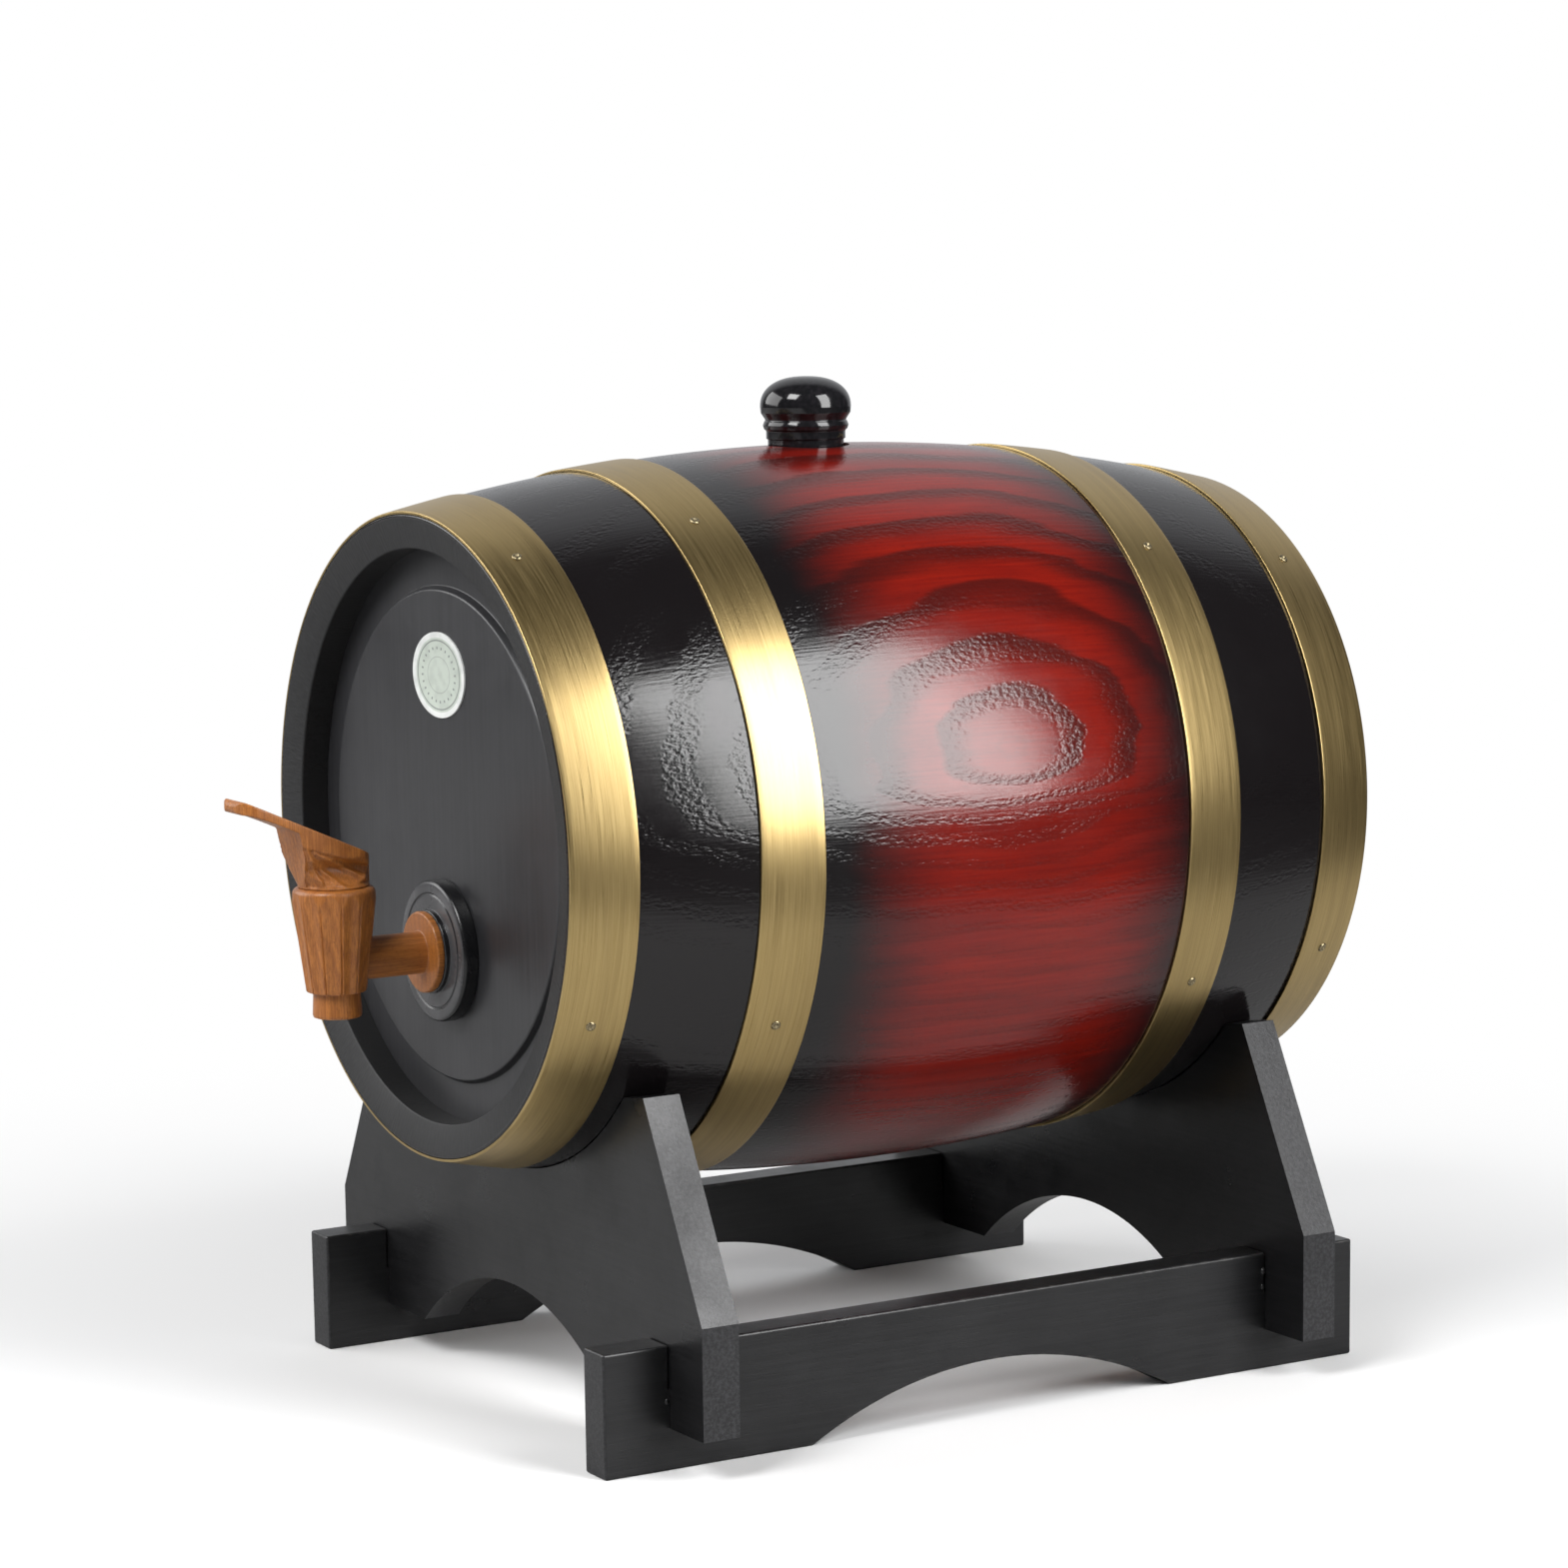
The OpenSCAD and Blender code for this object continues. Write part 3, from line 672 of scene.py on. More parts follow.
def stave_outline():
    """Closed outline as (radius, distance along), out along the arc and back along the inside."""
    outer = arc_part(-HALF, HALF, 96)
    groove_out = FACE + GAP
    groove_in = FACE - TONGUE_T - GAP
    far = [(RIM_R, HALF - 2.6 * MM), (RIM_R, groove_out), (RIM_R + GROOVE_DEEP, groove_out),
           (RIM_R + GROOVE_DEEP, groove_in), (RIM_R, groove_in), (RIM_R, HALF - 24 * MM)]
    bore = HALF - 30 * MM
    points = outer + far + arc_part(bore, -bore, 24, -STAVE_T) + [(r, -y) for r, y in reversed(far)]
    radii = [0.0] * len(points)
    radii[0] = radii[len(outer) - 1] = 0.9 * MM
    radii[len(outer)] = radii[-1] = 0.7 * MM
    return rounded(points, radii)


outline_of_stave = stave_outline()
print("rim %.1f to %.1f mm, outline points: %d" % (RIM_R / MM, END_R / MM, len(outline_of_stave)))

# %% Slices of the outline
STAVES = 16
STAVE_ANGLE = 2 * math.pi / STAVES
STAVE_STEPS = 12


def slice_of(name, outline, middle_angle):
    """One stave out of the turned ring. Angles run from the top of the cask towards +X."""
    count = len(outline)
    verts = []
    for s in range(STAVE_STEPS + 1):
        a = middle_angle - STAVE_ANGLE / 2 + STAVE_ANGLE * s / STAVE_STEPS
        verts += [(r * math.sin(a), h + CASK_Y, r * math.cos(a) + AXIS_Z) for r, h in outline]
    faces = ring_faces(STAVE_STEPS + 1, count, False, True)
    faces.append(tuple(range(count)))
    faces.append(tuple(STAVE_STEPS * count + i for i in reversed(range(count))))
    return new_piece(name, verts, faces)


def arc_normals(obj):
    """Sets the normals of the outer face from the arc itself."""
    mesh = obj.data
    normals = [tuple(n.vector) for n in mesh.corner_normals]
    for face in mesh.polygons:
        corners = [(loop, mesh.vertices[mesh.loops[loop].vertex_index].co) for loop in face.loop_indices]
        rows = [(loop, x, y - CASK_Y, z - AXIS_Z, math.hypot(x, z - AXIS_Z)) for loop, (x, y, z) in corners]
        if all(abs(y) < HALF - 1.0 * MM and abs(r - cask_r(y)) < 0.03 * MM for _, _, y, _, r in rows):
            for loop, x, y, z, r in rows:
                lean = y / ARC_R
                side = math.sqrt(1 - lean ** 2)
                normals[loop] = (x / r * side, lean, z / r * side)
    mesh.normals_split_custom_set(normals)


staves = [slice_of("stave_%02d" % (number + 1), outline_of_stave, number * STAVE_ANGLE)
          for number in range(STAVES)]
print("staves:", len(staves), "faces each:", len(staves[0].data.polygons))

# %% [markdown]
# The top stave is bored for the bung. A flat is sunk round the hole first, just as it is on the
# bench. Both cuts are one tool shape, a stepped cylinder, so the boolean runs once.

# %% The bung hole
BUNG_Y = box_middle("bung_knob", 1)
SEAT_R = 13.35 * MM
HOLE_R = 11.0 * MM
SEAT_Z = AXIS_Z + BELLY_R - 1.4 * MM
SEAT_CLEAR = 12 * MM
HOLE_EDGE = 0.3 * MM
bit = [(0, AXIS_Z), (HOLE_R, AXIS_Z), (HOLE_R, SEAT_Z - HOLE_EDGE), (HOLE_R + HOLE_EDGE, SEAT_Z),
       (SEAT_R, SEAT_Z), (SEAT_R, SEAT_Z + SEAT_CLEAR), (0, SEAT_Z + SEAT_CLEAR)]
cut_by(staves[0], turned("bung_bit", bit, moved(0, BUNG_Y, 0), segments=64, closed=False))
staves[0].data.set_sharp_from_angle(angle=math.radians(35))
for number, piece in enumerate(staves):
    arc_normals(piece)
    stands_for(piece, "cask", "stave_oak", stave_oak, "stave_%d" % (number + 1))
print("bung hole at y %.4f" % BUNG_Y)

# %% [markdown]
# ## The painted heads
#
# Each head is a disc with a raised middle, held by a thin tongue in the staves' groove. It is
# turned on a lathe, so its outline is swept round and its edges are slightly round, because thick
# paint softens them. The paint is satin and shows only a little of the grain under it.

# %% Material: satin black paint on wood
head_black, t, shader = new_material("head_black")
streaks = wood_grain(along_grain(2), 0.7)["Streaks"]
paint = t.mix(streaks, (0.023, 0.023, 0.025, 1), (0.031, 0.031, 0.034, 1))
wear = t.group(worn, Colour=paint, Worn_Colour=(0.07, 0.07, 0.075, 1), Amount=0.35, Scale=260.0)
t.put(shader.inputs["Base Color"], wear["Colour"])
t.put(shader.inputs["Roughness"], gloss(0.30, 0.42, 24.0))
orange_peel = t.noise(t.place(), 420.0, detail=2.0)
bump(t.plus(t.times(orange_peel, 0.5), t.times(streaks, 0.3)), 0.16, 0.08 * MM)

# %% Turned heads
head_low, head_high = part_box("rear_head")
TONGUE_R = (head_high.x - head_low.x) / 2
FIELD = FACE + 2.1 * MM
FIELD_R = 74.2 * MM
FIELD_SLOPE = 1.05 * MM
HEAD_T = 10 * MM
STEM_Z = box_middle("tap_rosette", 2) - AXIS_Z
STEM_HOLE_R = 6.05 * MM
FLIP = Matrix.Rotation(math.pi, 4, "X")
head_outline = rounded(
    [(0, FIELD), (FIELD_R - FIELD_SLOPE, FIELD), (FIELD_R, FACE), (TONGUE_R, FACE),
     (TONGUE_R, FACE - TONGUE_T), (RIM_R - GAP, FACE - TONGUE_T), (RIM_R - GAP, FACE - HEAD_T),
     (0, FACE - HEAD_T)],
    [0, 0.9 * MM, 0.5 * MM, 0, 0, 0, 0.6 * MM, 0])
rear_head = turned("rear_head_painted", head_outline, ALONG_CASK, segments=160, closed=False)
front_head = turned("front_head_painted", head_outline, ALONG_CASK @ FLIP, segments=160, closed=False)
stem_axis = moved(0, CASK_Y - FACE, AXIS_Z + STEM_Z) @ TO_FRONT
cut_by(front_head, drill(STEM_HOLE_R, -0.2, 0.2, stem_axis, 48))
front_head.data.set_sharp_from_angle(angle=math.radians(35))
stands_for(front_head, "cask", "head_black", head_black, "front_head")
stands_for(rear_head, "cask", "head_black", head_black, "rear_head")
print("heads: tongue radius %.1f mm, field radius %.1f mm" % (TONGUE_R / MM, FIELD_R / MM))

# %% [markdown]
# ## Brass hoops
#
# A hoop is a strip of brushed brass bent round the staves. The brush ran along the strip, so the
# streaks go round the cask: a noise is stretched round it and squeezed along it. The same streaks
# tilt the surface a little, which spreads each reflection across the strip.

# %% Material: brushed brass
hoop_brass, t, shader = new_material("hoop_brass", Metallic=1.0)
spot = t.group(cask_map, Point=t.place())
ring = t.split(spot["Ring"])
strip = (ring[0], ring[1], spot["Along"])
brushing = t.noise(t.scaled(strip, (3.0, 3.0, 3.4)), 1.0, detail=6.0, roughness=0.75)
broad = t.remap(t.noise(t.scaled(strip, (1.6, 1.6, 0.35)), 1.0, detail=3.0), 0.45, 0.72)
metal = t.mix(t.remap(brushing, 0.3, 0.7), (0.42, 0.300, 0.120, 1), (0.58, 0.430, 0.195, 1))
t.put(shader.inputs["Base Color"], t.mix(t.times(broad, 0.35), metal, (0.35, 0.25, 0.11, 1)))
t.put(shader.inputs["Roughness"], t.remap(brushing, 0.25, 0.75, 0.26, 0.40))
bump(brushing, 0.22, 0.05 * MM)

# %% Hoops with rounded edges
HOOP_T = 0.8 * MM
END_Y = HALF - HOOP_W / 2 - 0.35 * MM
FRONT_NAILS = (30, 117, 210, 297)
REAR_NAILS = (42, 118, 222, 298)
hoop_rows = (("front_end", -END_Y, FRONT_NAILS), ("front_quarter", -QUARTER_Y, FRONT_NAILS),
             ("rear_quarter", QUARTER_Y, REAR_NAILS), ("rear_end", END_Y, REAR_NAILS))


def hoop_outline(middle):
    """Closed outline of a hoop, centred at a distance along the cask."""
    low = arc_part(middle - HOOP_W / 2, middle + HOOP_W / 2, 10, GAP)
    points = low + [(r + HOOP_T, y) for r, y in reversed(low)]
    radii = [0.0] * len(points)
    radii[len(low)] = radii[-1] = 0.3 * MM
    return rounded(points, radii, steps=4)


for name, middle, _ in hoop_rows:
    hoop = turned("hoop_%s_band" % name, hoop_outline(middle), ALONG_CASK, segments=240)
    stands_for(hoop, "cask", "hoop_brass", hoop_brass, "hoop_" + name)
print("hoops:", len(hoop_rows), "width %.1f mm" % (HOOP_W / MM))

# %% [markdown]
# ## Nails in the hoops
#
# Four small nails hold each hoop. The punch that drove them left a dent in every head, so a head
# is a low ring with a hollow middle. It is turned once for each place, standing square to the
# hoop.

# %% Material: nail heads
nail_metal, t, shader = new_material("nail_metal", Metallic=1.0)
specks = t.noise(t.place(), 2600.0, detail=3.0)
dirt = t.remap(specks, 0.35, 0.7)
t.put(shader.inputs["Base Color"], t.mix(dirt, (0.20, 0.16, 0.09, 1), (0.50, 0.42, 0.26, 1)))
t.put(shader.inputs["Roughness"], t.remap(specks, 0.3, 0.7, 0.28, 0.5))
bump(specks, 0.3, 0.04 * MM)

# %% Nails
NAIL_POINTS_MM = ((0, 0.02), (0.45, 0.10), (0.80, 0.42), (1.10, 0.47), (1.38, 0.28), (1.50, 0.05),
                  (0.60, 0.04), (0.60, -6.9), (0, -7.0))


def in_metres(points_mm):
    return [(a * MM, b * MM) for a, b in points_mm]


def nail_place(middle, degrees):
    """Frame of one nail: origin on the hoop's surface, Z straight out of it."""
    a = math.radians(degrees)
    lean = math.asin(middle / ARC_R)
    radial = Vector((math.sin(a), 0, math.cos(a)))
    axis = Vector((0, 1, 0))
    out_dir = radial * math.cos(lean) + axis * math.sin(lean)
    side = axis.cross(radial)
    at = Vector((0, CASK_Y + middle, AXIS_Z)) + radial * (cask_r(middle) + GAP + HOOP_T)
    return Matrix.Translation(at) @ Matrix((side, out_dir.cross(side), out_dir)).transposed().to_4x4()


def merged(name, parts):
    """Joins several new pieces into one."""
    work = bmesh.new()
    for part in parts:
        work.from_mesh(part.data)
        bpy.data.objects.remove(part)
    mesh = bpy.data.meshes.new(name)
    work.to_mesh(mesh)
    work.free()
    smooth(mesh, 50)
    return added(name, mesh)


for name, middle, angles in hoop_rows:
    set_of_four = [turned("nail", in_metres(NAIL_POINTS_MM), nail_place(middle, degrees), segments=24,
                          closed=False) for degrees in angles]
    stands_for(merged("nails_%s_set" % name, set_of_four), "cask", "nail_metal", nail_metal, "nails_" + name)
print("nails:", 4 * len(hoop_rows))

# %% [markdown]
# ## The tap's plate
#
# A black wooden plate covers the hole in the head, with a thin washer between it and the tap's
# flange. Its front face is a lighter, dusty grey, partly painted light, and its sides are kept
# almost black as painted shade, so the colour asks which way the surface faces.

# %% Material: polished black plate
plate_black, t, shader = new_material("plate_black")
facing_front = t.times(t.split(t.add("ShaderNodeNewGeometry").outputs["Normal"])[1], -1.0)
clouds = t.noise(t.place(), 70.0, detail=3.0)
# the front face's lighter grey is partly painted light, clouded with dusty marks
dust_and_painted_light = t.mix(t.remap(clouds, 0.3, 0.7), (0.045, 0.045, 0.048, 1), (0.095, 0.095, 0.10, 1))
# painted shade: faces turned away from the front stay almost black
t.put(shader.inputs["Base Color"], t.mix(t.remap(facing_front, 0.75, 0.98), (0.010, 0.010, 0.011, 1), dust_and_painted_light))
t.put(shader.inputs["Roughness"], gloss(0.20, 0.34, 60.0))
bump(clouds, 0.1, 0.05 * MM)

# %% Plate and washer
TAP_Z = AXIS_Z + STEM_Z
plate_low, plate_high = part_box("tap_rosette")
PLATE_R = (plate_high.x - plate_low.x) / 2
PLATE_T = plate_high.y - plate_low.y
GROOVE_R = 17.2 * MM
STEM_R = 6.3 * MM
WASHER_R = 12.5 * MM
WASHER_T = 1.5 * MM
bore = STEM_R + GAP / 2
plate_outline = rounded(
    [(bore, 0), (PLATE_R - 0.2 * MM, 0), (PLATE_R, 0.6 * MM), (PLATE_R, PLATE_T),
     (GROOVE_R + 0.5 * MM, PLATE_T), (GROOVE_R, PLATE_T - 0.4 * MM), (GROOVE_R - 0.5 * MM, PLATE_T),
     (WASHER_R, PLATE_T), (WASHER_R, PLATE_T + WASHER_T), (bore, PLATE_T + WASHER_T)],
    [0, 0.2 * MM, 0.2 * MM, 2.6 * MM, 0.3 * MM, 0.2 * MM, 0.3 * MM, 0.3 * MM, 0.5 * MM, 0], steps=8)
plate = turned("tap_plate", plate_outline, moved(0, plate_high.y, TAP_Z) @ TO_FRONT, segments=128)
stands_for(plate, "cask", "head_black", plate_black, "tap_rosette")
print("plate radius %.1f mm, thickness %.1f mm" % (PLATE_R / MM, PLATE_T / MM))

# %% [markdown]
# ## Oiled hardwood
#
# The tap is a warm brown wood with fine dark grain and small pores. The grain runs along each
# turned piece: along the stem, and upright in the barrel and its key. A loop makes both
# materials, with the grain's direction as its only difference.

# %% Material: oiled tap wood
RING_STEP = 2.6
tap_wood = {}
for name, grain_axis in (("tap_wood_upright", 2), ("tap_wood_along", 1)):
    tap_wood[name], t, shader = new_material(name)
    parts = along_grain(grain_axis)
    bend = t.noise(t.scaled(parts, (0.05, 0.05, 0.02)), 1.0, detail=2.0)
    rings = t.math("FRACT", t.over(t.plus(parts[0], t.times(bend, 9.0)), RING_STEP))
    late = t.times(t.remap(rings, 0.3, 0.85), t.remap(rings, 1.0, 0.88))
    grain = wood_grain(parts, 2.1)
    base = t.mix(grain["Streaks"], (0.30, 0.098, 0.018, 1), (0.52, 0.190, 0.040, 1))
    base = t.mix(t.times(late, 0.30), base, (0.20, 0.055, 0.012, 1))
    base = t.mix(t.times(grain["Pores"], 0.75), base, (0.075, 0.020, 0.008, 1))
    wear = t.group(worn, Colour=base, Worn_Colour=(0.52, 0.24, 0.09, 1), Amount=0.4, Scale=500.0)
    t.put(shader.inputs["Base Color"], wear["Colour"])
    t.put(shader.inputs["Roughness"], gloss(0.30, 0.50, 90.0))
    bump(t.plus(t.times(grain["Pores"], -0.8), t.times(grain["Streaks"], 0.4)), 0.3, 0.1 * MM)

# %% [markdown]
# ## The tap's stem
#
# The stem goes through the plate into the head, and its flange presses against the washer. It was
# turned in one piece with a passage bored from end to end, so one closed outline gives all of it.

# %% Stem and flange
stem_low, stem_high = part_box("tap_stem")
FLANGE_R = (stem_high.x - stem_low.x) / 2
FLANGE_T = 4.0 * MM
PASSAGE_R = 3.0 * MM
flange_back = plate_low.y - WASHER_T
flange_front = plate_low.y - FLANGE_T
stem_outline = rounded(
    [(PASSAGE_R, -stem_high.y), (STEM_R, -stem_high.y), (STEM_R, -flange_back), (FLANGE_R, -flange_back),
     (FLANGE_R, -flange_front), (STEM_R, -flange_front), (STEM_R, -stem_low.y), (PASSAGE_R, -stem_low.y)],
    [0, 0.8 * MM, 0, 0.8 * MM, 0.9 * MM, 0.6 * MM, 0.2 * MM, 0], steps=6)
stem = turned("tap_stem_turned", stem_outline, moved(0, 0, TAP_Z) @ TO_FRONT)
stands_for(stem, "cask", "tap_wood", tap_wood["tap_wood_along"], "tap_stem")
print("stem from y %.4f to %.4f" % (stem_low.y, stem_high.y))

# %% [markdown]
# ## The tap's barrel
#
# The barrel was turned first. Then twelve flats were planed down it, which run out in scallops
# under the round top rim. On screen that is one rule: at each height and angle, the surface lies
# at the smaller of the turned radius and the flat's distance. The sweep below asks that rule for
# every point.

# %% The barrel's sizes and its rule
body_low, body_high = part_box("tap_body")
TAP_Y = (body_low.y + body_high.y) / 2
TAP_TOP = body_high.z
NOSE_TIP = body_low.z
TAP_FOOT = NOSE_TIP + 7.7 * MM
TAP_WIDEST = TAP_Z + 16.8 * MM
FLATS = 12
FLAT_ANGLE = 2 * math.pi / FLATS
FLAT_HOLLOW = 0.32 * MM
KNIFE_LINE = 0.55 * MM
LINE_NARROW = 14
LINE_END = 3.0 * MM
LINE_FADE = 4.0 * MM
FOOT_R = 9.2 * MM
WIDE_R = 12.5 * MM
TOP_R = 12.2 * MM
NOSE_R = 7.3 * MM
LINING_R = 7.35 * MM
SPOUT_R = 3.5 * MM
flat_share = math.cos(math.pi / FLATS)
flat_slope = (WIDE_R - FOOT_R) * flat_share / (TAP_WIDEST - TAP_FOOT)


def clamped(value):
    return max(0.0, min(1.0, value))


def barrel_r(r, z, angle):
    """Radius of the planed barrel where the turned one has radius r."""
    if z < TAP_FOOT:
        return r
    flat = (FOOT_R - 0.1 * MM) * flat_share + (z - TAP_FOOT) * flat_slope
    turn_part = (angle / FLAT_ANGLE + 0.5) % 1.0 - 0.5
    # each flat is a little hollow, and a knife line marks where two meet
    hollow = FLAT_HOLLOW * math.cos(turn_part * math.pi) ** 2
    planed = flat / math.cos(turn_part * FLAT_ANGLE) - hollow
    fade = clamped((TAP_TOP - LINE_END - z) / LINE_FADE)
    line = KNIFE_LINE * fade * max(0.0, 1 - (0.5 - abs(turn_part)) * LINE_NARROW)
    return min(r, planed) - line


print("flats:", FLATS, "foot radius %.1f mm" % (FOOT_R / MM))

# %% A barrel with flats
RIM_ROUND = 1.9 * MM
FOOT_ROUND = 0.9 * MM
SOCKET_FLOOR = TAP_FOOT + 1.4 * MM
outside = [(SPOUT_R + 0.5 * MM, NOSE_TIP), (NOSE_R - 0.7 * MM, NOSE_TIP),
           (NOSE_R - 0.2 * MM, NOSE_TIP + 0.2 * MM), (NOSE_R, NOSE_TIP + 0.9 * MM),
           (NOSE_R - 0.1 * MM, NOSE_TIP + 3 * MM),
           (NOSE_R - 0.3 * MM, TAP_FOOT - 0.5 * MM), (NOSE_R, TAP_FOOT), (FOOT_R - 0.95 * MM, TAP_FOOT)]
outside += arc_points((FOOT_R - FOOT_ROUND, TAP_FOOT + FOOT_ROUND), FOOT_ROUND, -80, 0, 4)
for k in range(1, 17):
    z = TAP_FOOT + FOOT_ROUND + (TAP_WIDEST - TAP_FOOT - FOOT_ROUND) * k / 16
    outside.append((FOOT_R + (WIDE_R - FOOT_R) * (z - TAP_FOOT) / (TAP_WIDEST - TAP_FOOT), z))
for k in range(1, 8):
    z = TAP_WIDEST + (TAP_TOP - RIM_ROUND - TAP_WIDEST) * k / 8
    outside.append((WIDE_R + (TOP_R - WIDE_R) * k / 8, z))
outside += arc_points((TOP_R - RIM_ROUND, TAP_TOP - RIM_ROUND), RIM_ROUND, 0, 90, 12)
within = [(LINING_R + 0.3 * MM, TAP_TOP), (LINING_R, TAP_TOP - 0.3 * MM), (LINING_R, SOCKET_FLOOR),
          (SPOUT_R, SOCKET_FLOOR), (SPOUT_R, NOSE_TIP + 0.5 * MM)]
segments = FLATS * 20
verts = []
for s in range(segments):
    a = 2 * math.pi * s / segments
    points = [(barrel_r(r, z, a), z) for r, z in outside] + within
    verts += [(r * math.sin(a), TAP_Y - r * math.cos(a), z) for r, z in points]
faces = ring_faces(segments, len(outside) + len(within), True, True)
barrel = new_piece("tap_barrel", verts, faces, sharp_angle=14)
cut_by(barrel, drill(STEM_R + GAP / 2, 0, 30 * MM, moved(0, TAP_Y, TAP_Z) @ TO_REAR, 48))
stands_for(barrel, "cask", "tap_wood", tap_wood["tap_wood_upright"], "tap_body")
print("barrel: foot %.1f, widest %.1f, top %.1f mm above the floor"
      % (TAP_FOOT / MM, TAP_WIDEST / MM, TAP_TOP / MM))

# %% [markdown]
# ## The cork lining
#
# Cork inside the barrel grips the key. It is a plain sleeve with a port towards the stem, and its
# real part is already right, so the frame's own piece stays and only gets a finish.

# %% Material: cork
def finish_node(node, material):
    """Gives a frame's own piece a finish."""
    nodes[node].data.materials.clear()
    nodes[node].data.materials.append(material)


cork, t, shader = new_material("cork", Roughness=0.8)
place = t.place()
cells = t.add("ShaderNodeTexVoronoi", Scale=900.0, Vector=place).outputs["Distance"]
patch = t.remap(t.noise(place, 260.0, detail=4.0, roughness=0.6), 0.35, 0.65)
tan = t.mix(patch, (0.42, 0.26, 0.13, 1), (0.62, 0.43, 0.25, 1))
pits = t.remap(t.noise(place, 480.0, detail=2.0), 0.62, 0.72)
t.put(shader.inputs["Base Color"], t.mix(pits, tan, (0.10, 0.05, 0.03, 1)))
bump(t.minus(t.times(cells, 0.3), pits), 0.5, 0.2 * MM)
finish_node("tap_cork_lining", cork)

# %% [markdown]
# ## The lever key
#
# The key was cut from one block with a knife: a thin sloping lever, a hollowed web under it with
# a few ridges left by the blade, and a round neck on the barrel. Three sawn outlines are crossed
# to get the block, then a remesh melts the hard corners. The ridges are pressed in afterwards by
# moving points, because a remesh would have softened them away.

# %% The key seen from its side
key_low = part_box("tap_key")[0]
LEVER_TIP = TAP_Y - key_low.y - 1.0 * MM
LEVER_BACK = 11.2 * MM
LEVER_THIN = 2.7
TIP_EXTRA = 1.5
TIP_R = 1.9 * MM
BACK_H = 8.75 * MM
SLOPE = math.tan(math.radians(24.4))
NECK_R = 10.6 * MM
NECK_H = 0.9 * MM
WEB_X = 14.2 * MM
SPARE = 2 * MM


def lever_top(x):
    """Height of the lever's top above the barrel, x forwards from the key's axis."""
    return BACK_H + (x + LEVER_BACK) * SLOPE


def lever_under(x):
    """Height of the lever's underside: thinnest at the web, full again at the tip."""
    share = clamped((x - WEB_X) / (LEVER_TIP - WEB_X))
    return lever_top(x) - (LEVER_THIN + TIP_EXTRA * share ** 3) * MM


tip_x = LEVER_TIP - TIP_R
under_x = LEVER_TIP - 3 * MM
side = [(-LEVER_BACK, -SPARE), (-LEVER_BACK, BACK_H)]
side += arc_points((tip_x, lever_top(tip_x) - TIP_R * 1.05), TIP_R, 100, -75, 10)
for k in range(11):
    x = under_x - (under_x - WEB_X) * k / 10
    side.append((x, lever_under(x)))
side += [(WEB_X - 0.2 * MM, lever_under(WEB_X) - 0.6 * MM), (NECK_R, NECK_H), (NECK_R, -SPARE)]
FORWARDS = Matrix(((0, 0, 1, 0), (-1, 0, 0, 0), (0, 1, 0, 0), (0, 0, 0, 1)))
BLOCK_W = 0.04
on_barrel = moved(0, TAP_Y, TAP_TOP)
block = plain_block("tap_lever_key", side, BLOCK_W, on_barrel @ FORWARDS @ moved(0, 0, -BLOCK_W / 2))
print("lever reaches %.1f mm, its top %.1f mm over the barrel" % (LEVER_TIP / MM, lever_top(LEVER_TIP) / MM))

# %% The same block seen from the front and from above
LEVER_HALF = 8.5 * MM
WAIST = 6.3 * MM
WAIST_H = 5.4 * MM
CORNER = 6.4 * MM
front = [(-NECK_R - SPARE, -2 * SPARE), (-NECK_R - SPARE, NECK_H), (-NECK_R, NECK_H)]
front += [(-WAIST - (NECK_R - WAIST) * (1 - k / 8) ** 1.5, NECK_H + WAIST_H * k / 8) for k in range(1, 9)]
front += [(-LEVER_HALF, NECK_H + WAIST_H + 2.8 * MM), (-LEVER_HALF, lever_top(LEVER_TIP) + SPARE)]
front += [(-x, z) for x, z in reversed(front)]
SAW_REACH = 0.1
from_behind = moved(0, TAP_Y + 0.04, TAP_TOP) @ TO_FRONT
cut_by(block, plain_block("front_saw", front, SAW_REACH, from_behind), "INTERSECT")
# seen from above: a round neck, and a lever with rounded corners
meet = math.degrees(math.acos(LEVER_HALF / NECK_R))
plan = arc_points((0, 0), NECK_R, -meet, 180 + meet, 40)
plan += arc_points((-LEVER_HALF + CORNER, -LEVER_TIP + CORNER), CORNER, 180, 270, 8)
plan += arc_points((LEVER_HALF - CORNER, -LEVER_TIP + CORNER), CORNER, 270, 360, 8)
from_below = moved(0, TAP_Y, TAP_TOP - SPARE / 2)
cut_by(block, plain_block("plan_saw", plan, SAW_REACH / 2, from_below), "INTERSECT")
# the lathe leaves the neck round, in a cone that opens towards the web's square front
cone = [(NECK_R, -SPARE), (40 * MM, -SPARE), (40 * MM, 12 * MM), (16.0 * MM, 12 * MM), (NECK_R, NECK_H)]
cut_by(block, turned("neck_cutter", cone, on_barrel))
# the saws cut past the neck's foot, so it is trimmed level with the barrel's top
foot = [(x * SAW_REACH, y * SAW_REACH) for x, y in ((-1, -1), (1, -1), (1, 1), (-1, 1))]
cut_by(block, plain_block("foot_saw", foot, SAW_REACH, moved(0, TAP_Y, TAP_TOP - SAW_REACH)))
print("key block faces:", len(block.data.polygons))

# %% Melting the corners and pressing in the ridges
# ridges left between the knife's hollows, as lines from (x, height) to (x, height) in mm
RIDGES = ((14.4, 15.8, 10.6, 0.0), (12.2, 13.6, 6.6, 0.0), (10.6, 9.4, 0.0, 0.0), (9.6, 11.4, -7.0, 2.6),
          (12.0, 13.2, -10.6, 6.2))
HOLLOW_HALF = 1.25
HOLLOW_DEPTH = 1.15 * MM
EDGE_FADE = 0.8
modified(block, "REMESH", mode="VOXEL", voxel_size=0.30 * MM)
modified(block, "SMOOTH", factor=0.5, iterations=4)
x1, z1, x2, z2 = RIDGES[-1]
top_slope = (z2 - z1) / (x2 - x1)


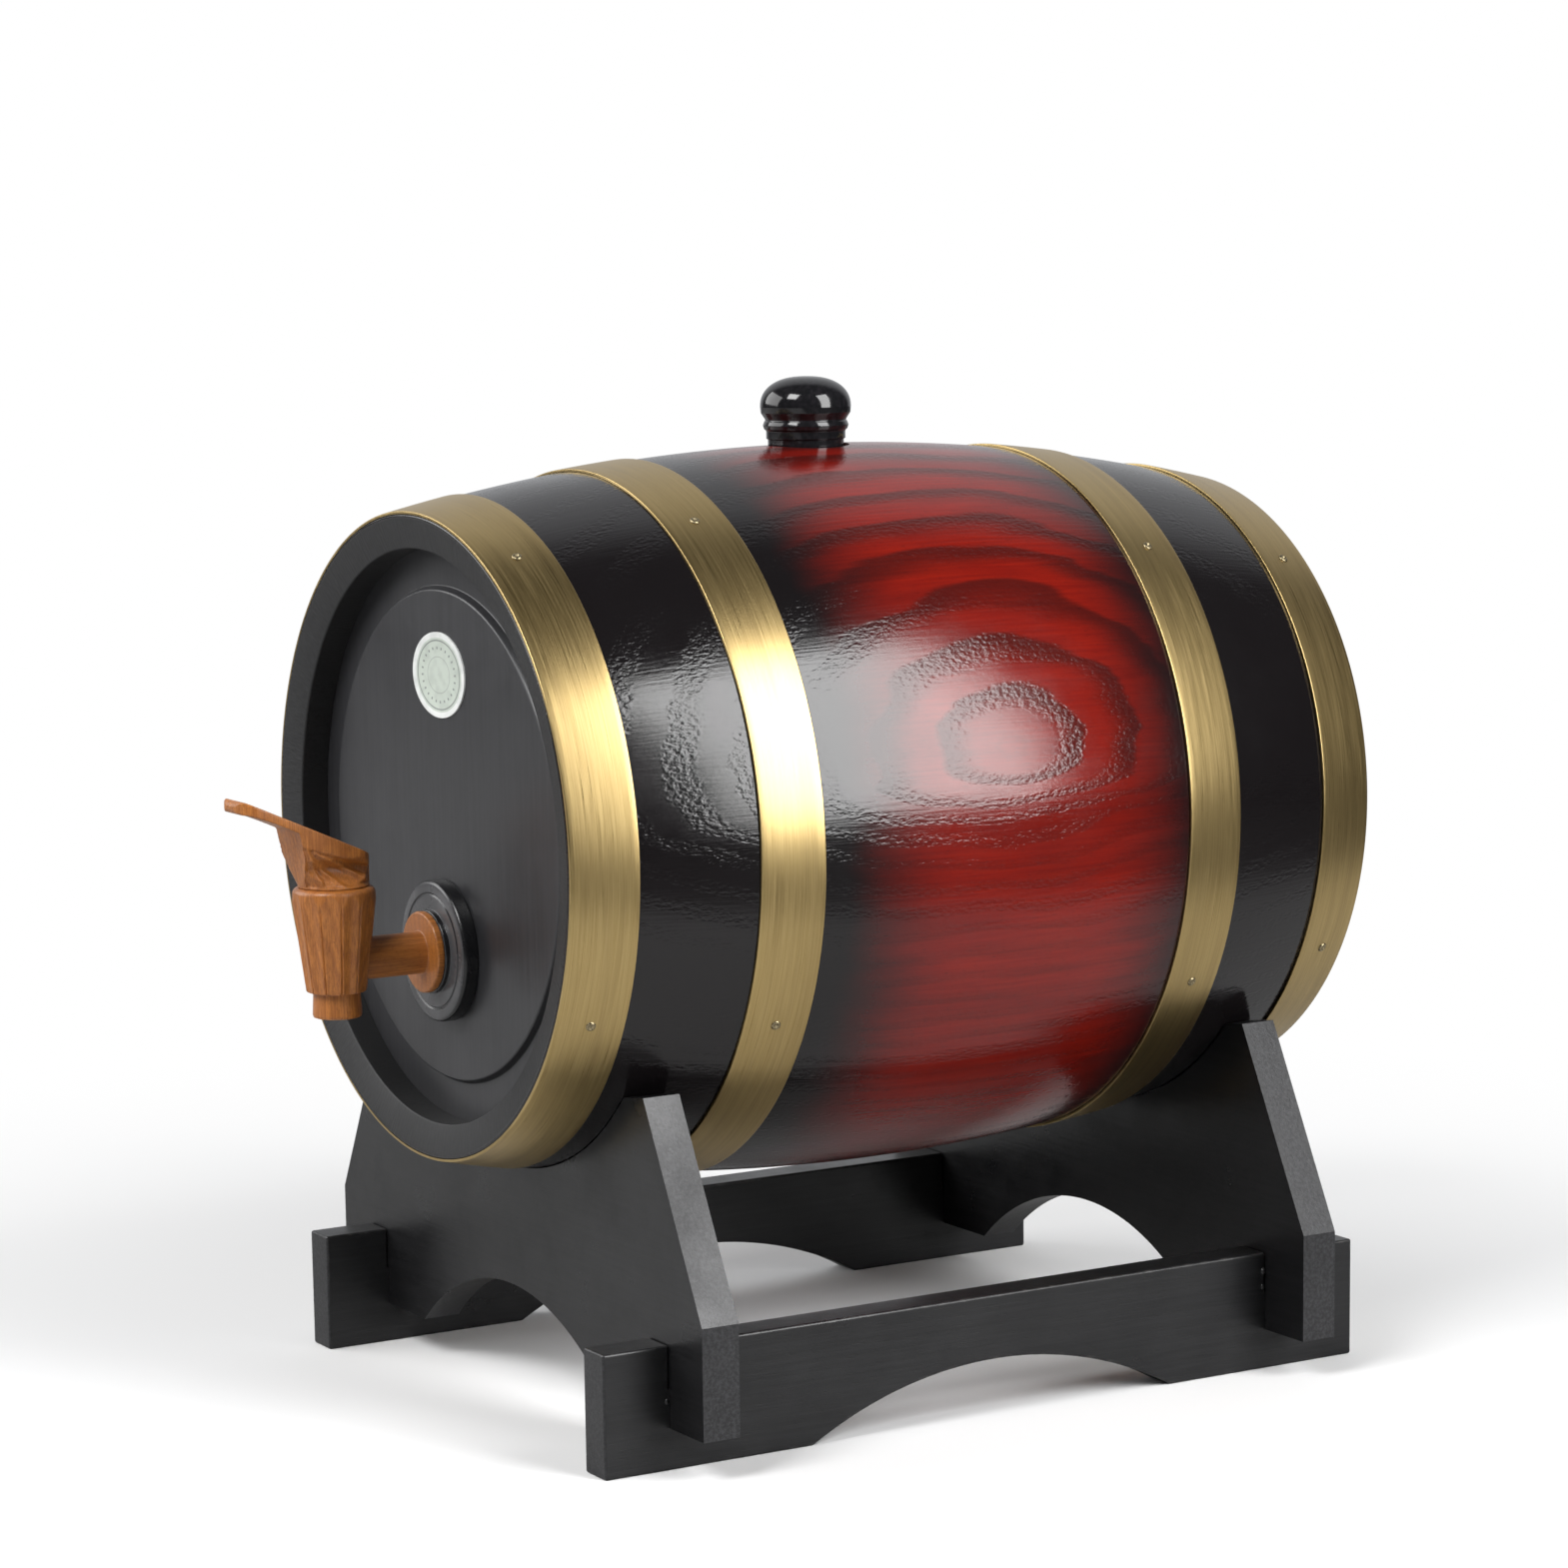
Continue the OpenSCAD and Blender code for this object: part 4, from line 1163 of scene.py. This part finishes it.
def from_line(x, z, x1, z1, x2, z2):
    """Distance from a point to a line with two ends."""
    run = Vector((x2 - x1, z2 - z1))
    step = Vector((x - x1, z - z1))
    return (step - run * clamped(step.dot(run) / run.length_squared)).length


moves = []
for vertex in block.data.vertices:
    x = (TAP_Y - vertex.co.y) / MM
    z = (vertex.co.z - TAP_TOP) / MM
    under_top = z1 + top_slope * (x - x1) - z
    fade = clamped(under_top / EDGE_FADE) * clamped((z - 0.5) / EDGE_FADE)
    if fade > 0 and abs(vertex.normal.x) >= 0.3:
        nearest = min(from_line(x, z, *ridge) for ridge in RIDGES)
        depth = fade * min(1.0, nearest / HOLLOW_HALF) * HOLLOW_DEPTH
        moves.append((vertex.index, math.copysign(depth, vertex.normal.x)))
for index, move in moves:
    block.data.vertices[index].co.x -= move
for vertex in block.data.vertices:
    vertex.co.y = max(vertex.co.y, key_low.y + 0.01 * MM)
block.data.polygons.foreach_set("use_smooth", [True] * len(block.data.polygons))
stands_for(block, "key", "tap_wood", tap_wood["tap_wood_upright"], "tap_key")
print("key points:", len(block.data.vertices), "of which hollowed:", len(moves))

# %% The key's plug
PLUG_R = 5.6 * MM
PORT_R = 2.95 * MM
PLUG_FOOT = TAP_FOOT + 1.55 * MM
PLUG_TOP = TAP_TOP + 1.0 * MM
plug_outline = rounded([(PORT_R, PLUG_FOOT), (PLUG_R, PLUG_FOOT), (PLUG_R, PLUG_TOP), (0, PLUG_TOP),
                        (0, TAP_Z), (PORT_R, TAP_Z)], [0.3 * MM, 0.4 * MM, 0, 0, 0, 0])
plug = turned("tap_key_plug", plug_outline, moved(0, TAP_Y, 0), segments=64)
cut_by(plug, drill(PORT_R, -12 * MM, 12 * MM, moved(0, TAP_Y, TAP_Z) @ TO_SIDE, 40))
stands_for(plug, "key", "tap_wood", tap_wood["tap_wood_upright"])
print("plug foot %.1f mm above the floor" % (PLUG_FOOT / MM))

# %% [markdown]
# ## The bung
#
# The bung is a turned knob lacquered glossy black, glued to a tapered cork. Its outline has a
# neck, a bead and a round dome. The gloss is high, so it is left almost free of texture.

# %% Material: glossy black lacquer
bung_black, t, shader = new_material("bung_black")
spots = t.remap(t.noise(t.place(), 700.0, detail=2.0), 0.4, 0.7)
t.put(shader.inputs["Base Color"], t.mix(spots, (0.007, 0.007, 0.008, 1), (0.013, 0.012, 0.014, 1)))
t.put(shader.inputs["Roughness"], gloss(0.07, 0.16, 80.0))
bump(t.noise(t.place(), 150.0, detail=2.0), 0.12, 0.1 * MM)

# %% Knob and stopper
BELLY_TOP = AXIS_Z + BELLY_R
DOME_R = 14.0
DOME_FOOT = 11.4
DOME_H = 9.2
TENON_TOP = 6.9
knob_points = [(4.05, -1.1), (11.7, -1.1), (11.7, 1.5), (12.2, 1.7), (12.2, 4.1), (12.8, 4.6), (13.2, 5.8),
               (12.8, 6.9), (12.4, 7.4), (12.9, 8.2), (13.8, 9.6), (DOME_R, DOME_FOOT)]
# the cap is a little fuller than an ellipse
dome_angles = [math.pi / 2 * k / 16 for k in range(1, 16)]
knob_points += [(DOME_R * math.cos(a) ** 0.84, DOME_FOOT + DOME_H * math.sin(a) ** 0.9) for a in dome_angles]
knob_points += [(0, DOME_FOOT + DOME_H), (0, TENON_TOP), (4.05, TENON_TOP)]
knob_radii = [0.3 * MM] * 4 + [0.5 * MM] * 8 + [0] * 18
knob_outline = rounded(in_metres(knob_points), knob_radii, steps=4)
knob = turned("bung_knob_turned", knob_outline, moved(0, BUNG_Y, BELLY_TOP))
stands_for(knob, "bung", "bung_black", bung_black, "bung_knob")
stop_low, stop_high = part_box("bung_stopper")
CORK_FOOT_R = 9.4 * MM
CORK_TOP_R = 10.7 * MM
CORK_TOP = SEAT_Z + 0.3 * MM
TENON_R = 4.0 * MM
stopper_outline = rounded(
    [(0, stop_low.z), (CORK_FOOT_R, stop_low.z), (CORK_TOP_R, CORK_TOP), (TENON_R, CORK_TOP),
     (TENON_R, stop_high.z), (0, stop_high.z)],
    [0, 1.0 * MM, 0.4 * MM, 0, 0.4 * MM, 0])
stopper = turned("bung_stopper_cork", stopper_outline, moved(0, BUNG_Y, 0), segments=64, closed=False)
stands_for(stopper, "bung", "cork", cork, "bung_stopper")
print("bung top %.1f mm above the floor" % (BELLY_TOP / MM + DOME_FOOT + DOME_H))

# %% [markdown]
# ## The oval badge
#
# A small oval plate is stuck above the tap. It carries only a pale rim and plain rings, drawn by
# the distance from its middle, so that it stays free of any lettering.

# %% Material: badge
PALE = (0.56, 0.62, 0.55, 1)
WHITE = (0.80, 0.82, 0.80, 1)
GREY = (0.20, 0.22, 0.21, 1)
badge_low, badge_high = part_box("badge")
BADGE_Z = ((badge_low + badge_high) / 2).z
BADGE_A = (badge_high.x - badge_low.x) / 2
BADGE_B = (badge_high.z - badge_low.z) / 2
DOTS = 24.0
badge_plate, t, shader = new_material("badge_plate")
x, _, z = t.split(t.place())
oval_x = t.over(x, BADGE_A)
oval_z = t.over(t.minus(z, BADGE_Z), BADGE_B)
oval = t.long_side(oval_x, oval_z)


def band(low, high, soft=0.012):
    """A mask that is 1 between two distances from the badge's middle."""
    return t.times(t.remap(oval, low - soft, low + soft), t.remap(oval, high + soft, high - soft))


face_colour = t.mix(t.remap(oval, 0.86, 0.88), PALE, WHITE)
face_colour = t.mix(band(0.79, 0.82), face_colour, GREY)
face_colour = t.mix(band(0.42, 0.43), face_colour, GREY)
beat = t.math("SINE", t.times(t.math("ARCTAN2", oval_z, oval_x), DOTS))
face_colour = t.mix(t.times(t.remap(beat, 0.5, 0.8), band(0.60, 0.66)), face_colour, GREY)
tint = t.noise(t.place(), 300.0, detail=3.0)
t.put(shader.inputs["Base Color"], t.mix(t.times(t.remap(tint, 0.4, 0.7), 0.2), face_colour, GREY))
t.put(shader.inputs["Roughness"], gloss(0.28, 0.45, 120.0))
bump(tint, 0.1, 0.05 * MM)

# %% Badge with a raised rim
BADGE_T = badge_high.y - badge_low.y
FACE_T = BADGE_T * 0.75
# radii are shares of the oval's half axes here, and the squeeze turns them into metres
badge_outline = rounded([(0, 0), (1.0, 0), (1.0, BADGE_T), (0.93, BADGE_T), (0.90, FACE_T), (0, FACE_T)],
                        [0, 0, 0.1 * MM, 0.1 * MM, 0, 0])
squeeze = Matrix.Diagonal((BADGE_A, BADGE_B, 1, 1))
place_badge = moved(0, badge_high.y, BADGE_Z) @ TO_FRONT @ squeeze
badge = turned("badge_oval", badge_outline, place_badge, closed=False)
stands_for(badge, "cask", "badge_plate", badge_plate, "badge")
print("badge %.1f by %.1f mm" % (2 * BADGE_A / MM, 2 * BADGE_B / MM))

# %% [markdown]
# ## The stand
#
# Two rails and two end boards cross in halved joints, and the boards have a hollow that fits the
# cask. Each is sawn from a plank, so it is an outline with a thickness. The edges are broken with
# a bevel, because paint over a rounded edge catches a bright line there. The paint is thin enough
# to show the open grain, which runs along each plank.

# %% Material: black paint over open grain
stand_black = {}
for name, grain_axis in (("stand_black_across", 0), ("stand_black_along", 1)):
    stand_black[name], t, shader = new_material(name)
    grain = wood_grain(along_grain(grain_axis), 0.8)
    paint = t.mix(grain["Streaks"], (0.0065, 0.0065, 0.0072, 1), (0.0110, 0.0110, 0.0120, 1))
    paint = t.mix(t.times(grain["Pores"], 0.7), paint, (0.006, 0.006, 0.006, 1))
    wear = t.group(worn, Colour=paint, Worn_Colour=(0.11, 0.105, 0.10, 1), Amount=0.5, Scale=320.0)
    facing = t.split(t.add("ShaderNodeNewGeometry").outputs["True Normal"])[grain_axis]
    end_grain = t.remap(t.math("ABSOLUTE", facing), 0.55, 0.75)
    specks = t.noise(t.place(), 900.0, detail=3.0, roughness=0.7)
    rough_paint = t.mix(t.remap(specks, 0.35, 0.7), (0.010, 0.010, 0.011, 1), (0.032, 0.032, 0.035, 1))
    t.put(shader.inputs["Base Color"], t.mix(end_grain, wear["Colour"], rough_paint))
    t.put(shader.inputs["Roughness"], t.plus(gloss(0.27, 0.42, 34.0), t.times(end_grain, 0.06)))
    relief = t.plus(t.times(grain["Pores"], -0.4), t.times(grain["Streaks"], 0.35))
    bump(t.plus(relief, t.times(t.times(specks, end_grain), 1.2)), 0.3, 0.12 * MM)

# %% Dowels in the joints
dowel_wood, t, shader = new_material("dowel_wood", Roughness=0.7)
streaks = wood_grain(along_grain(2), 2.0)["Streaks"]
t.put(shader.inputs["Base Color"], t.mix(streaks, (0.40, 0.25, 0.12, 1), (0.60, 0.42, 0.24, 1)))
bump(streaks, 0.3, 0.1 * MM)
finish_node("joint_dowels", dowel_wood)
dowel_low, dowel_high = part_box("joint_dowels")
DOWEL_HOLE_R = 2.55 * MM
RAIL_X = box_middle("right_rail", 0)
BOARD_YS = (box_middle("front_end_board", 1), box_middle("rear_end_board", 1))


def dowel_drill(side, y):
    """A drill a little larger than one dowel."""
    return drill(DOWEL_HOLE_R, dowel_low.z - GAP, dowel_high.z + GAP, moved(side * RAIL_X, y, 0), 32)


print("joints at x %.4f and y %s" % (RAIL_X, [round(y, 4) for y in BOARD_YS]))


# %% Sawing a board: outline, cuts, broken edges
def board_from(name, outline, thickness, to_frame, cutters, break_edge):
    """A plank with its cuts made first and its edges broken afterwards."""
    plank = plain_block(name, outline, thickness, to_frame)
    for cutter in cutters:
        cut_by(plank, cutter)
    modified(plank, "BEVEL", width=break_edge, segments=3, limit_method="ANGLE",
             angle_limit=math.radians(25), use_clamp_overlap=True)
    smooth(plank.data, 50)
    return modified(plank, "WEIGHTED_NORMAL", keep_sharp=True, weight=80)


# %% End boards
board_low, board_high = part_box("front_end_board")
BOARD_T = board_high.y - board_low.y
FOOT_X = board_high.x
LIFT = board_low.z
HORN_Z = board_high.z
HORN_X = 85.6 * MM
HORN_FALL = math.tan(math.radians(8))
KNEE_Z = 45.7 * MM
HALVING = 24.5 * MM
ARCH_R = 90 * MM
ARCH_Z = 36 * MM - ARCH_R
SEAT_GAP = 0.3 * MM
SEAT_OVER = 1 * MM
rail_low, rail_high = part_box("right_rail")
RAIL_T = rail_high.x - rail_low.x
slot_in = RAIL_X - RAIL_T / 2 - GAP
slot_out = RAIL_X + RAIL_T / 2 + GAP
half_board = [(FOOT_X, KNEE_Z), (FOOT_X, LIFT), (slot_out, LIFT), (slot_out, HALVING), (slot_in, HALVING),
              (slot_in, LIFT)]
start = math.degrees(math.atan2(LIFT - ARCH_Z, math.sqrt(ARCH_R ** 2 - (LIFT - ARCH_Z) ** 2)))
arch = arc_points((0, ARCH_Z), ARCH_R, start, 180 - start, 48)
board_points = [(0, HORN_Z - HORN_X * HORN_FALL), (HORN_X, HORN_Z)] + half_board + arch
board_points += [(-x, z) for x, z in reversed(half_board)] + [(-HORN_X, HORN_Z)]
for name, y, seat_turn in (("front_end_board", BOARD_YS[0], FLIP), ("rear_end_board", BOARD_YS[1], Matrix())):
    inner = abs(y - CASK_Y) - BOARD_T / 2 - SEAT_OVER
    outer = inner + BOARD_T + 2 * SEAT_OVER
    hollow = [(0, inner)] + arc_part(inner, outer, 6, SEAT_GAP) + [(0, outer)]
    seat = turned("seat_cutter", hollow, ALONG_CASK @ seat_turn, segments=192, closed=False)
    cutters = [seat] + [dowel_drill(side, y) for side in (-1, 1)]
    place_board = moved(0, y + BOARD_T / 2, 0) @ TO_FRONT
    plank = board_from(name + "_sawn", board_points, BOARD_T, place_board, cutters, 0.9 * MM)
    stands_for(plank, "stand", "stand_black", stand_black["stand_black_across"], name)
print("board %.1f mm thick, horn %.1f mm high" % (BOARD_T / MM, HORN_Z / MM))

# %% Rails
RAIL_H = rail_high.z
RAIL_ARCH = 64 * MM
RAIL_CROWN = 17.1 * MM
rail_arch_r = (RAIL_ARCH ** 2 + RAIL_CROWN ** 2) / (2 * RAIL_CROWN)
rail_start = math.degrees(math.atan2(rail_arch_r - RAIL_CROWN, RAIL_ARCH))
rail_arch = arc_points((CASK_Y, RAIL_CROWN - rail_arch_r), rail_arch_r, rail_start, 180 - rail_start, 40)
rail_points = [(rail_high.y, 0)] + rail_arch + [(rail_low.y, 0), (rail_low.y, RAIL_H)]
notch = BOARD_T / 2 + GAP
for y in BOARD_YS:
    rail_points += [(y - notch, RAIL_H), (y - notch, HALVING), (y + notch, HALVING), (y + notch, RAIL_H)]
rail_points += [(rail_high.y, RAIL_H)]
ON_EDGE = Matrix(((0, 0, 1, 0), (1, 0, 0, 0), (0, 1, 0, 0), (0, 0, 0, 1)))
for name, side in (("left_rail", -1), ("right_rail", 1)):
    place_rail = moved(side * RAIL_X - RAIL_T / 2, 0, 0) @ ON_EDGE
    cutters = [dowel_drill(side, y) for y in BOARD_YS]
    plank = board_from(name + "_sawn", rail_points, RAIL_T, place_rail, cutters, 0.8 * MM)
    stands_for(plank, "stand", "stand_black", stand_black["stand_black_along"], name)
print("rail %.1f mm long" % ((rail_high.y - rail_low.y) / MM))

# %% [markdown]
# A few drops of glue squeezed out of the halved joints and were painted over. They are small
# domes that lie against the wood, and they catch the light.

# %% Glue drops
drop_outline = in_metres([(0, -0.15), (1.25, -0.15), (1.2, 0.12), (0.95, 0.42), (0.55, 0.62), (0, 0.70)])
# each drop's board, side of the board, distance from it and height in mm, and its size
drop_rows = ((1, -1, 0.9, 31, 1.0), (1, -1, 1.1, 26.2, 0.8), (0, 1, 0.9, 29, 0.9), (0, -1, 1.0, 20.5, 0.8))
drops = []
for board, side, off, height, size in drop_rows:
    at = moved(RAIL_X + RAIL_T / 2, BOARD_YS[board] + side * (BOARD_T / 2 + off * MM), height * MM)
    shape = Matrix.Diagonal((size, size * 0.7, size, 1))
    drops.append(turned("drop", drop_outline, at @ TO_SIDE @ shape, segments=20, closed=False))
stands_for(merged("glue_drops", drops), "stand", "stand_black", stand_black["stand_black_along"])
print("glue drops:", len(drop_rows))
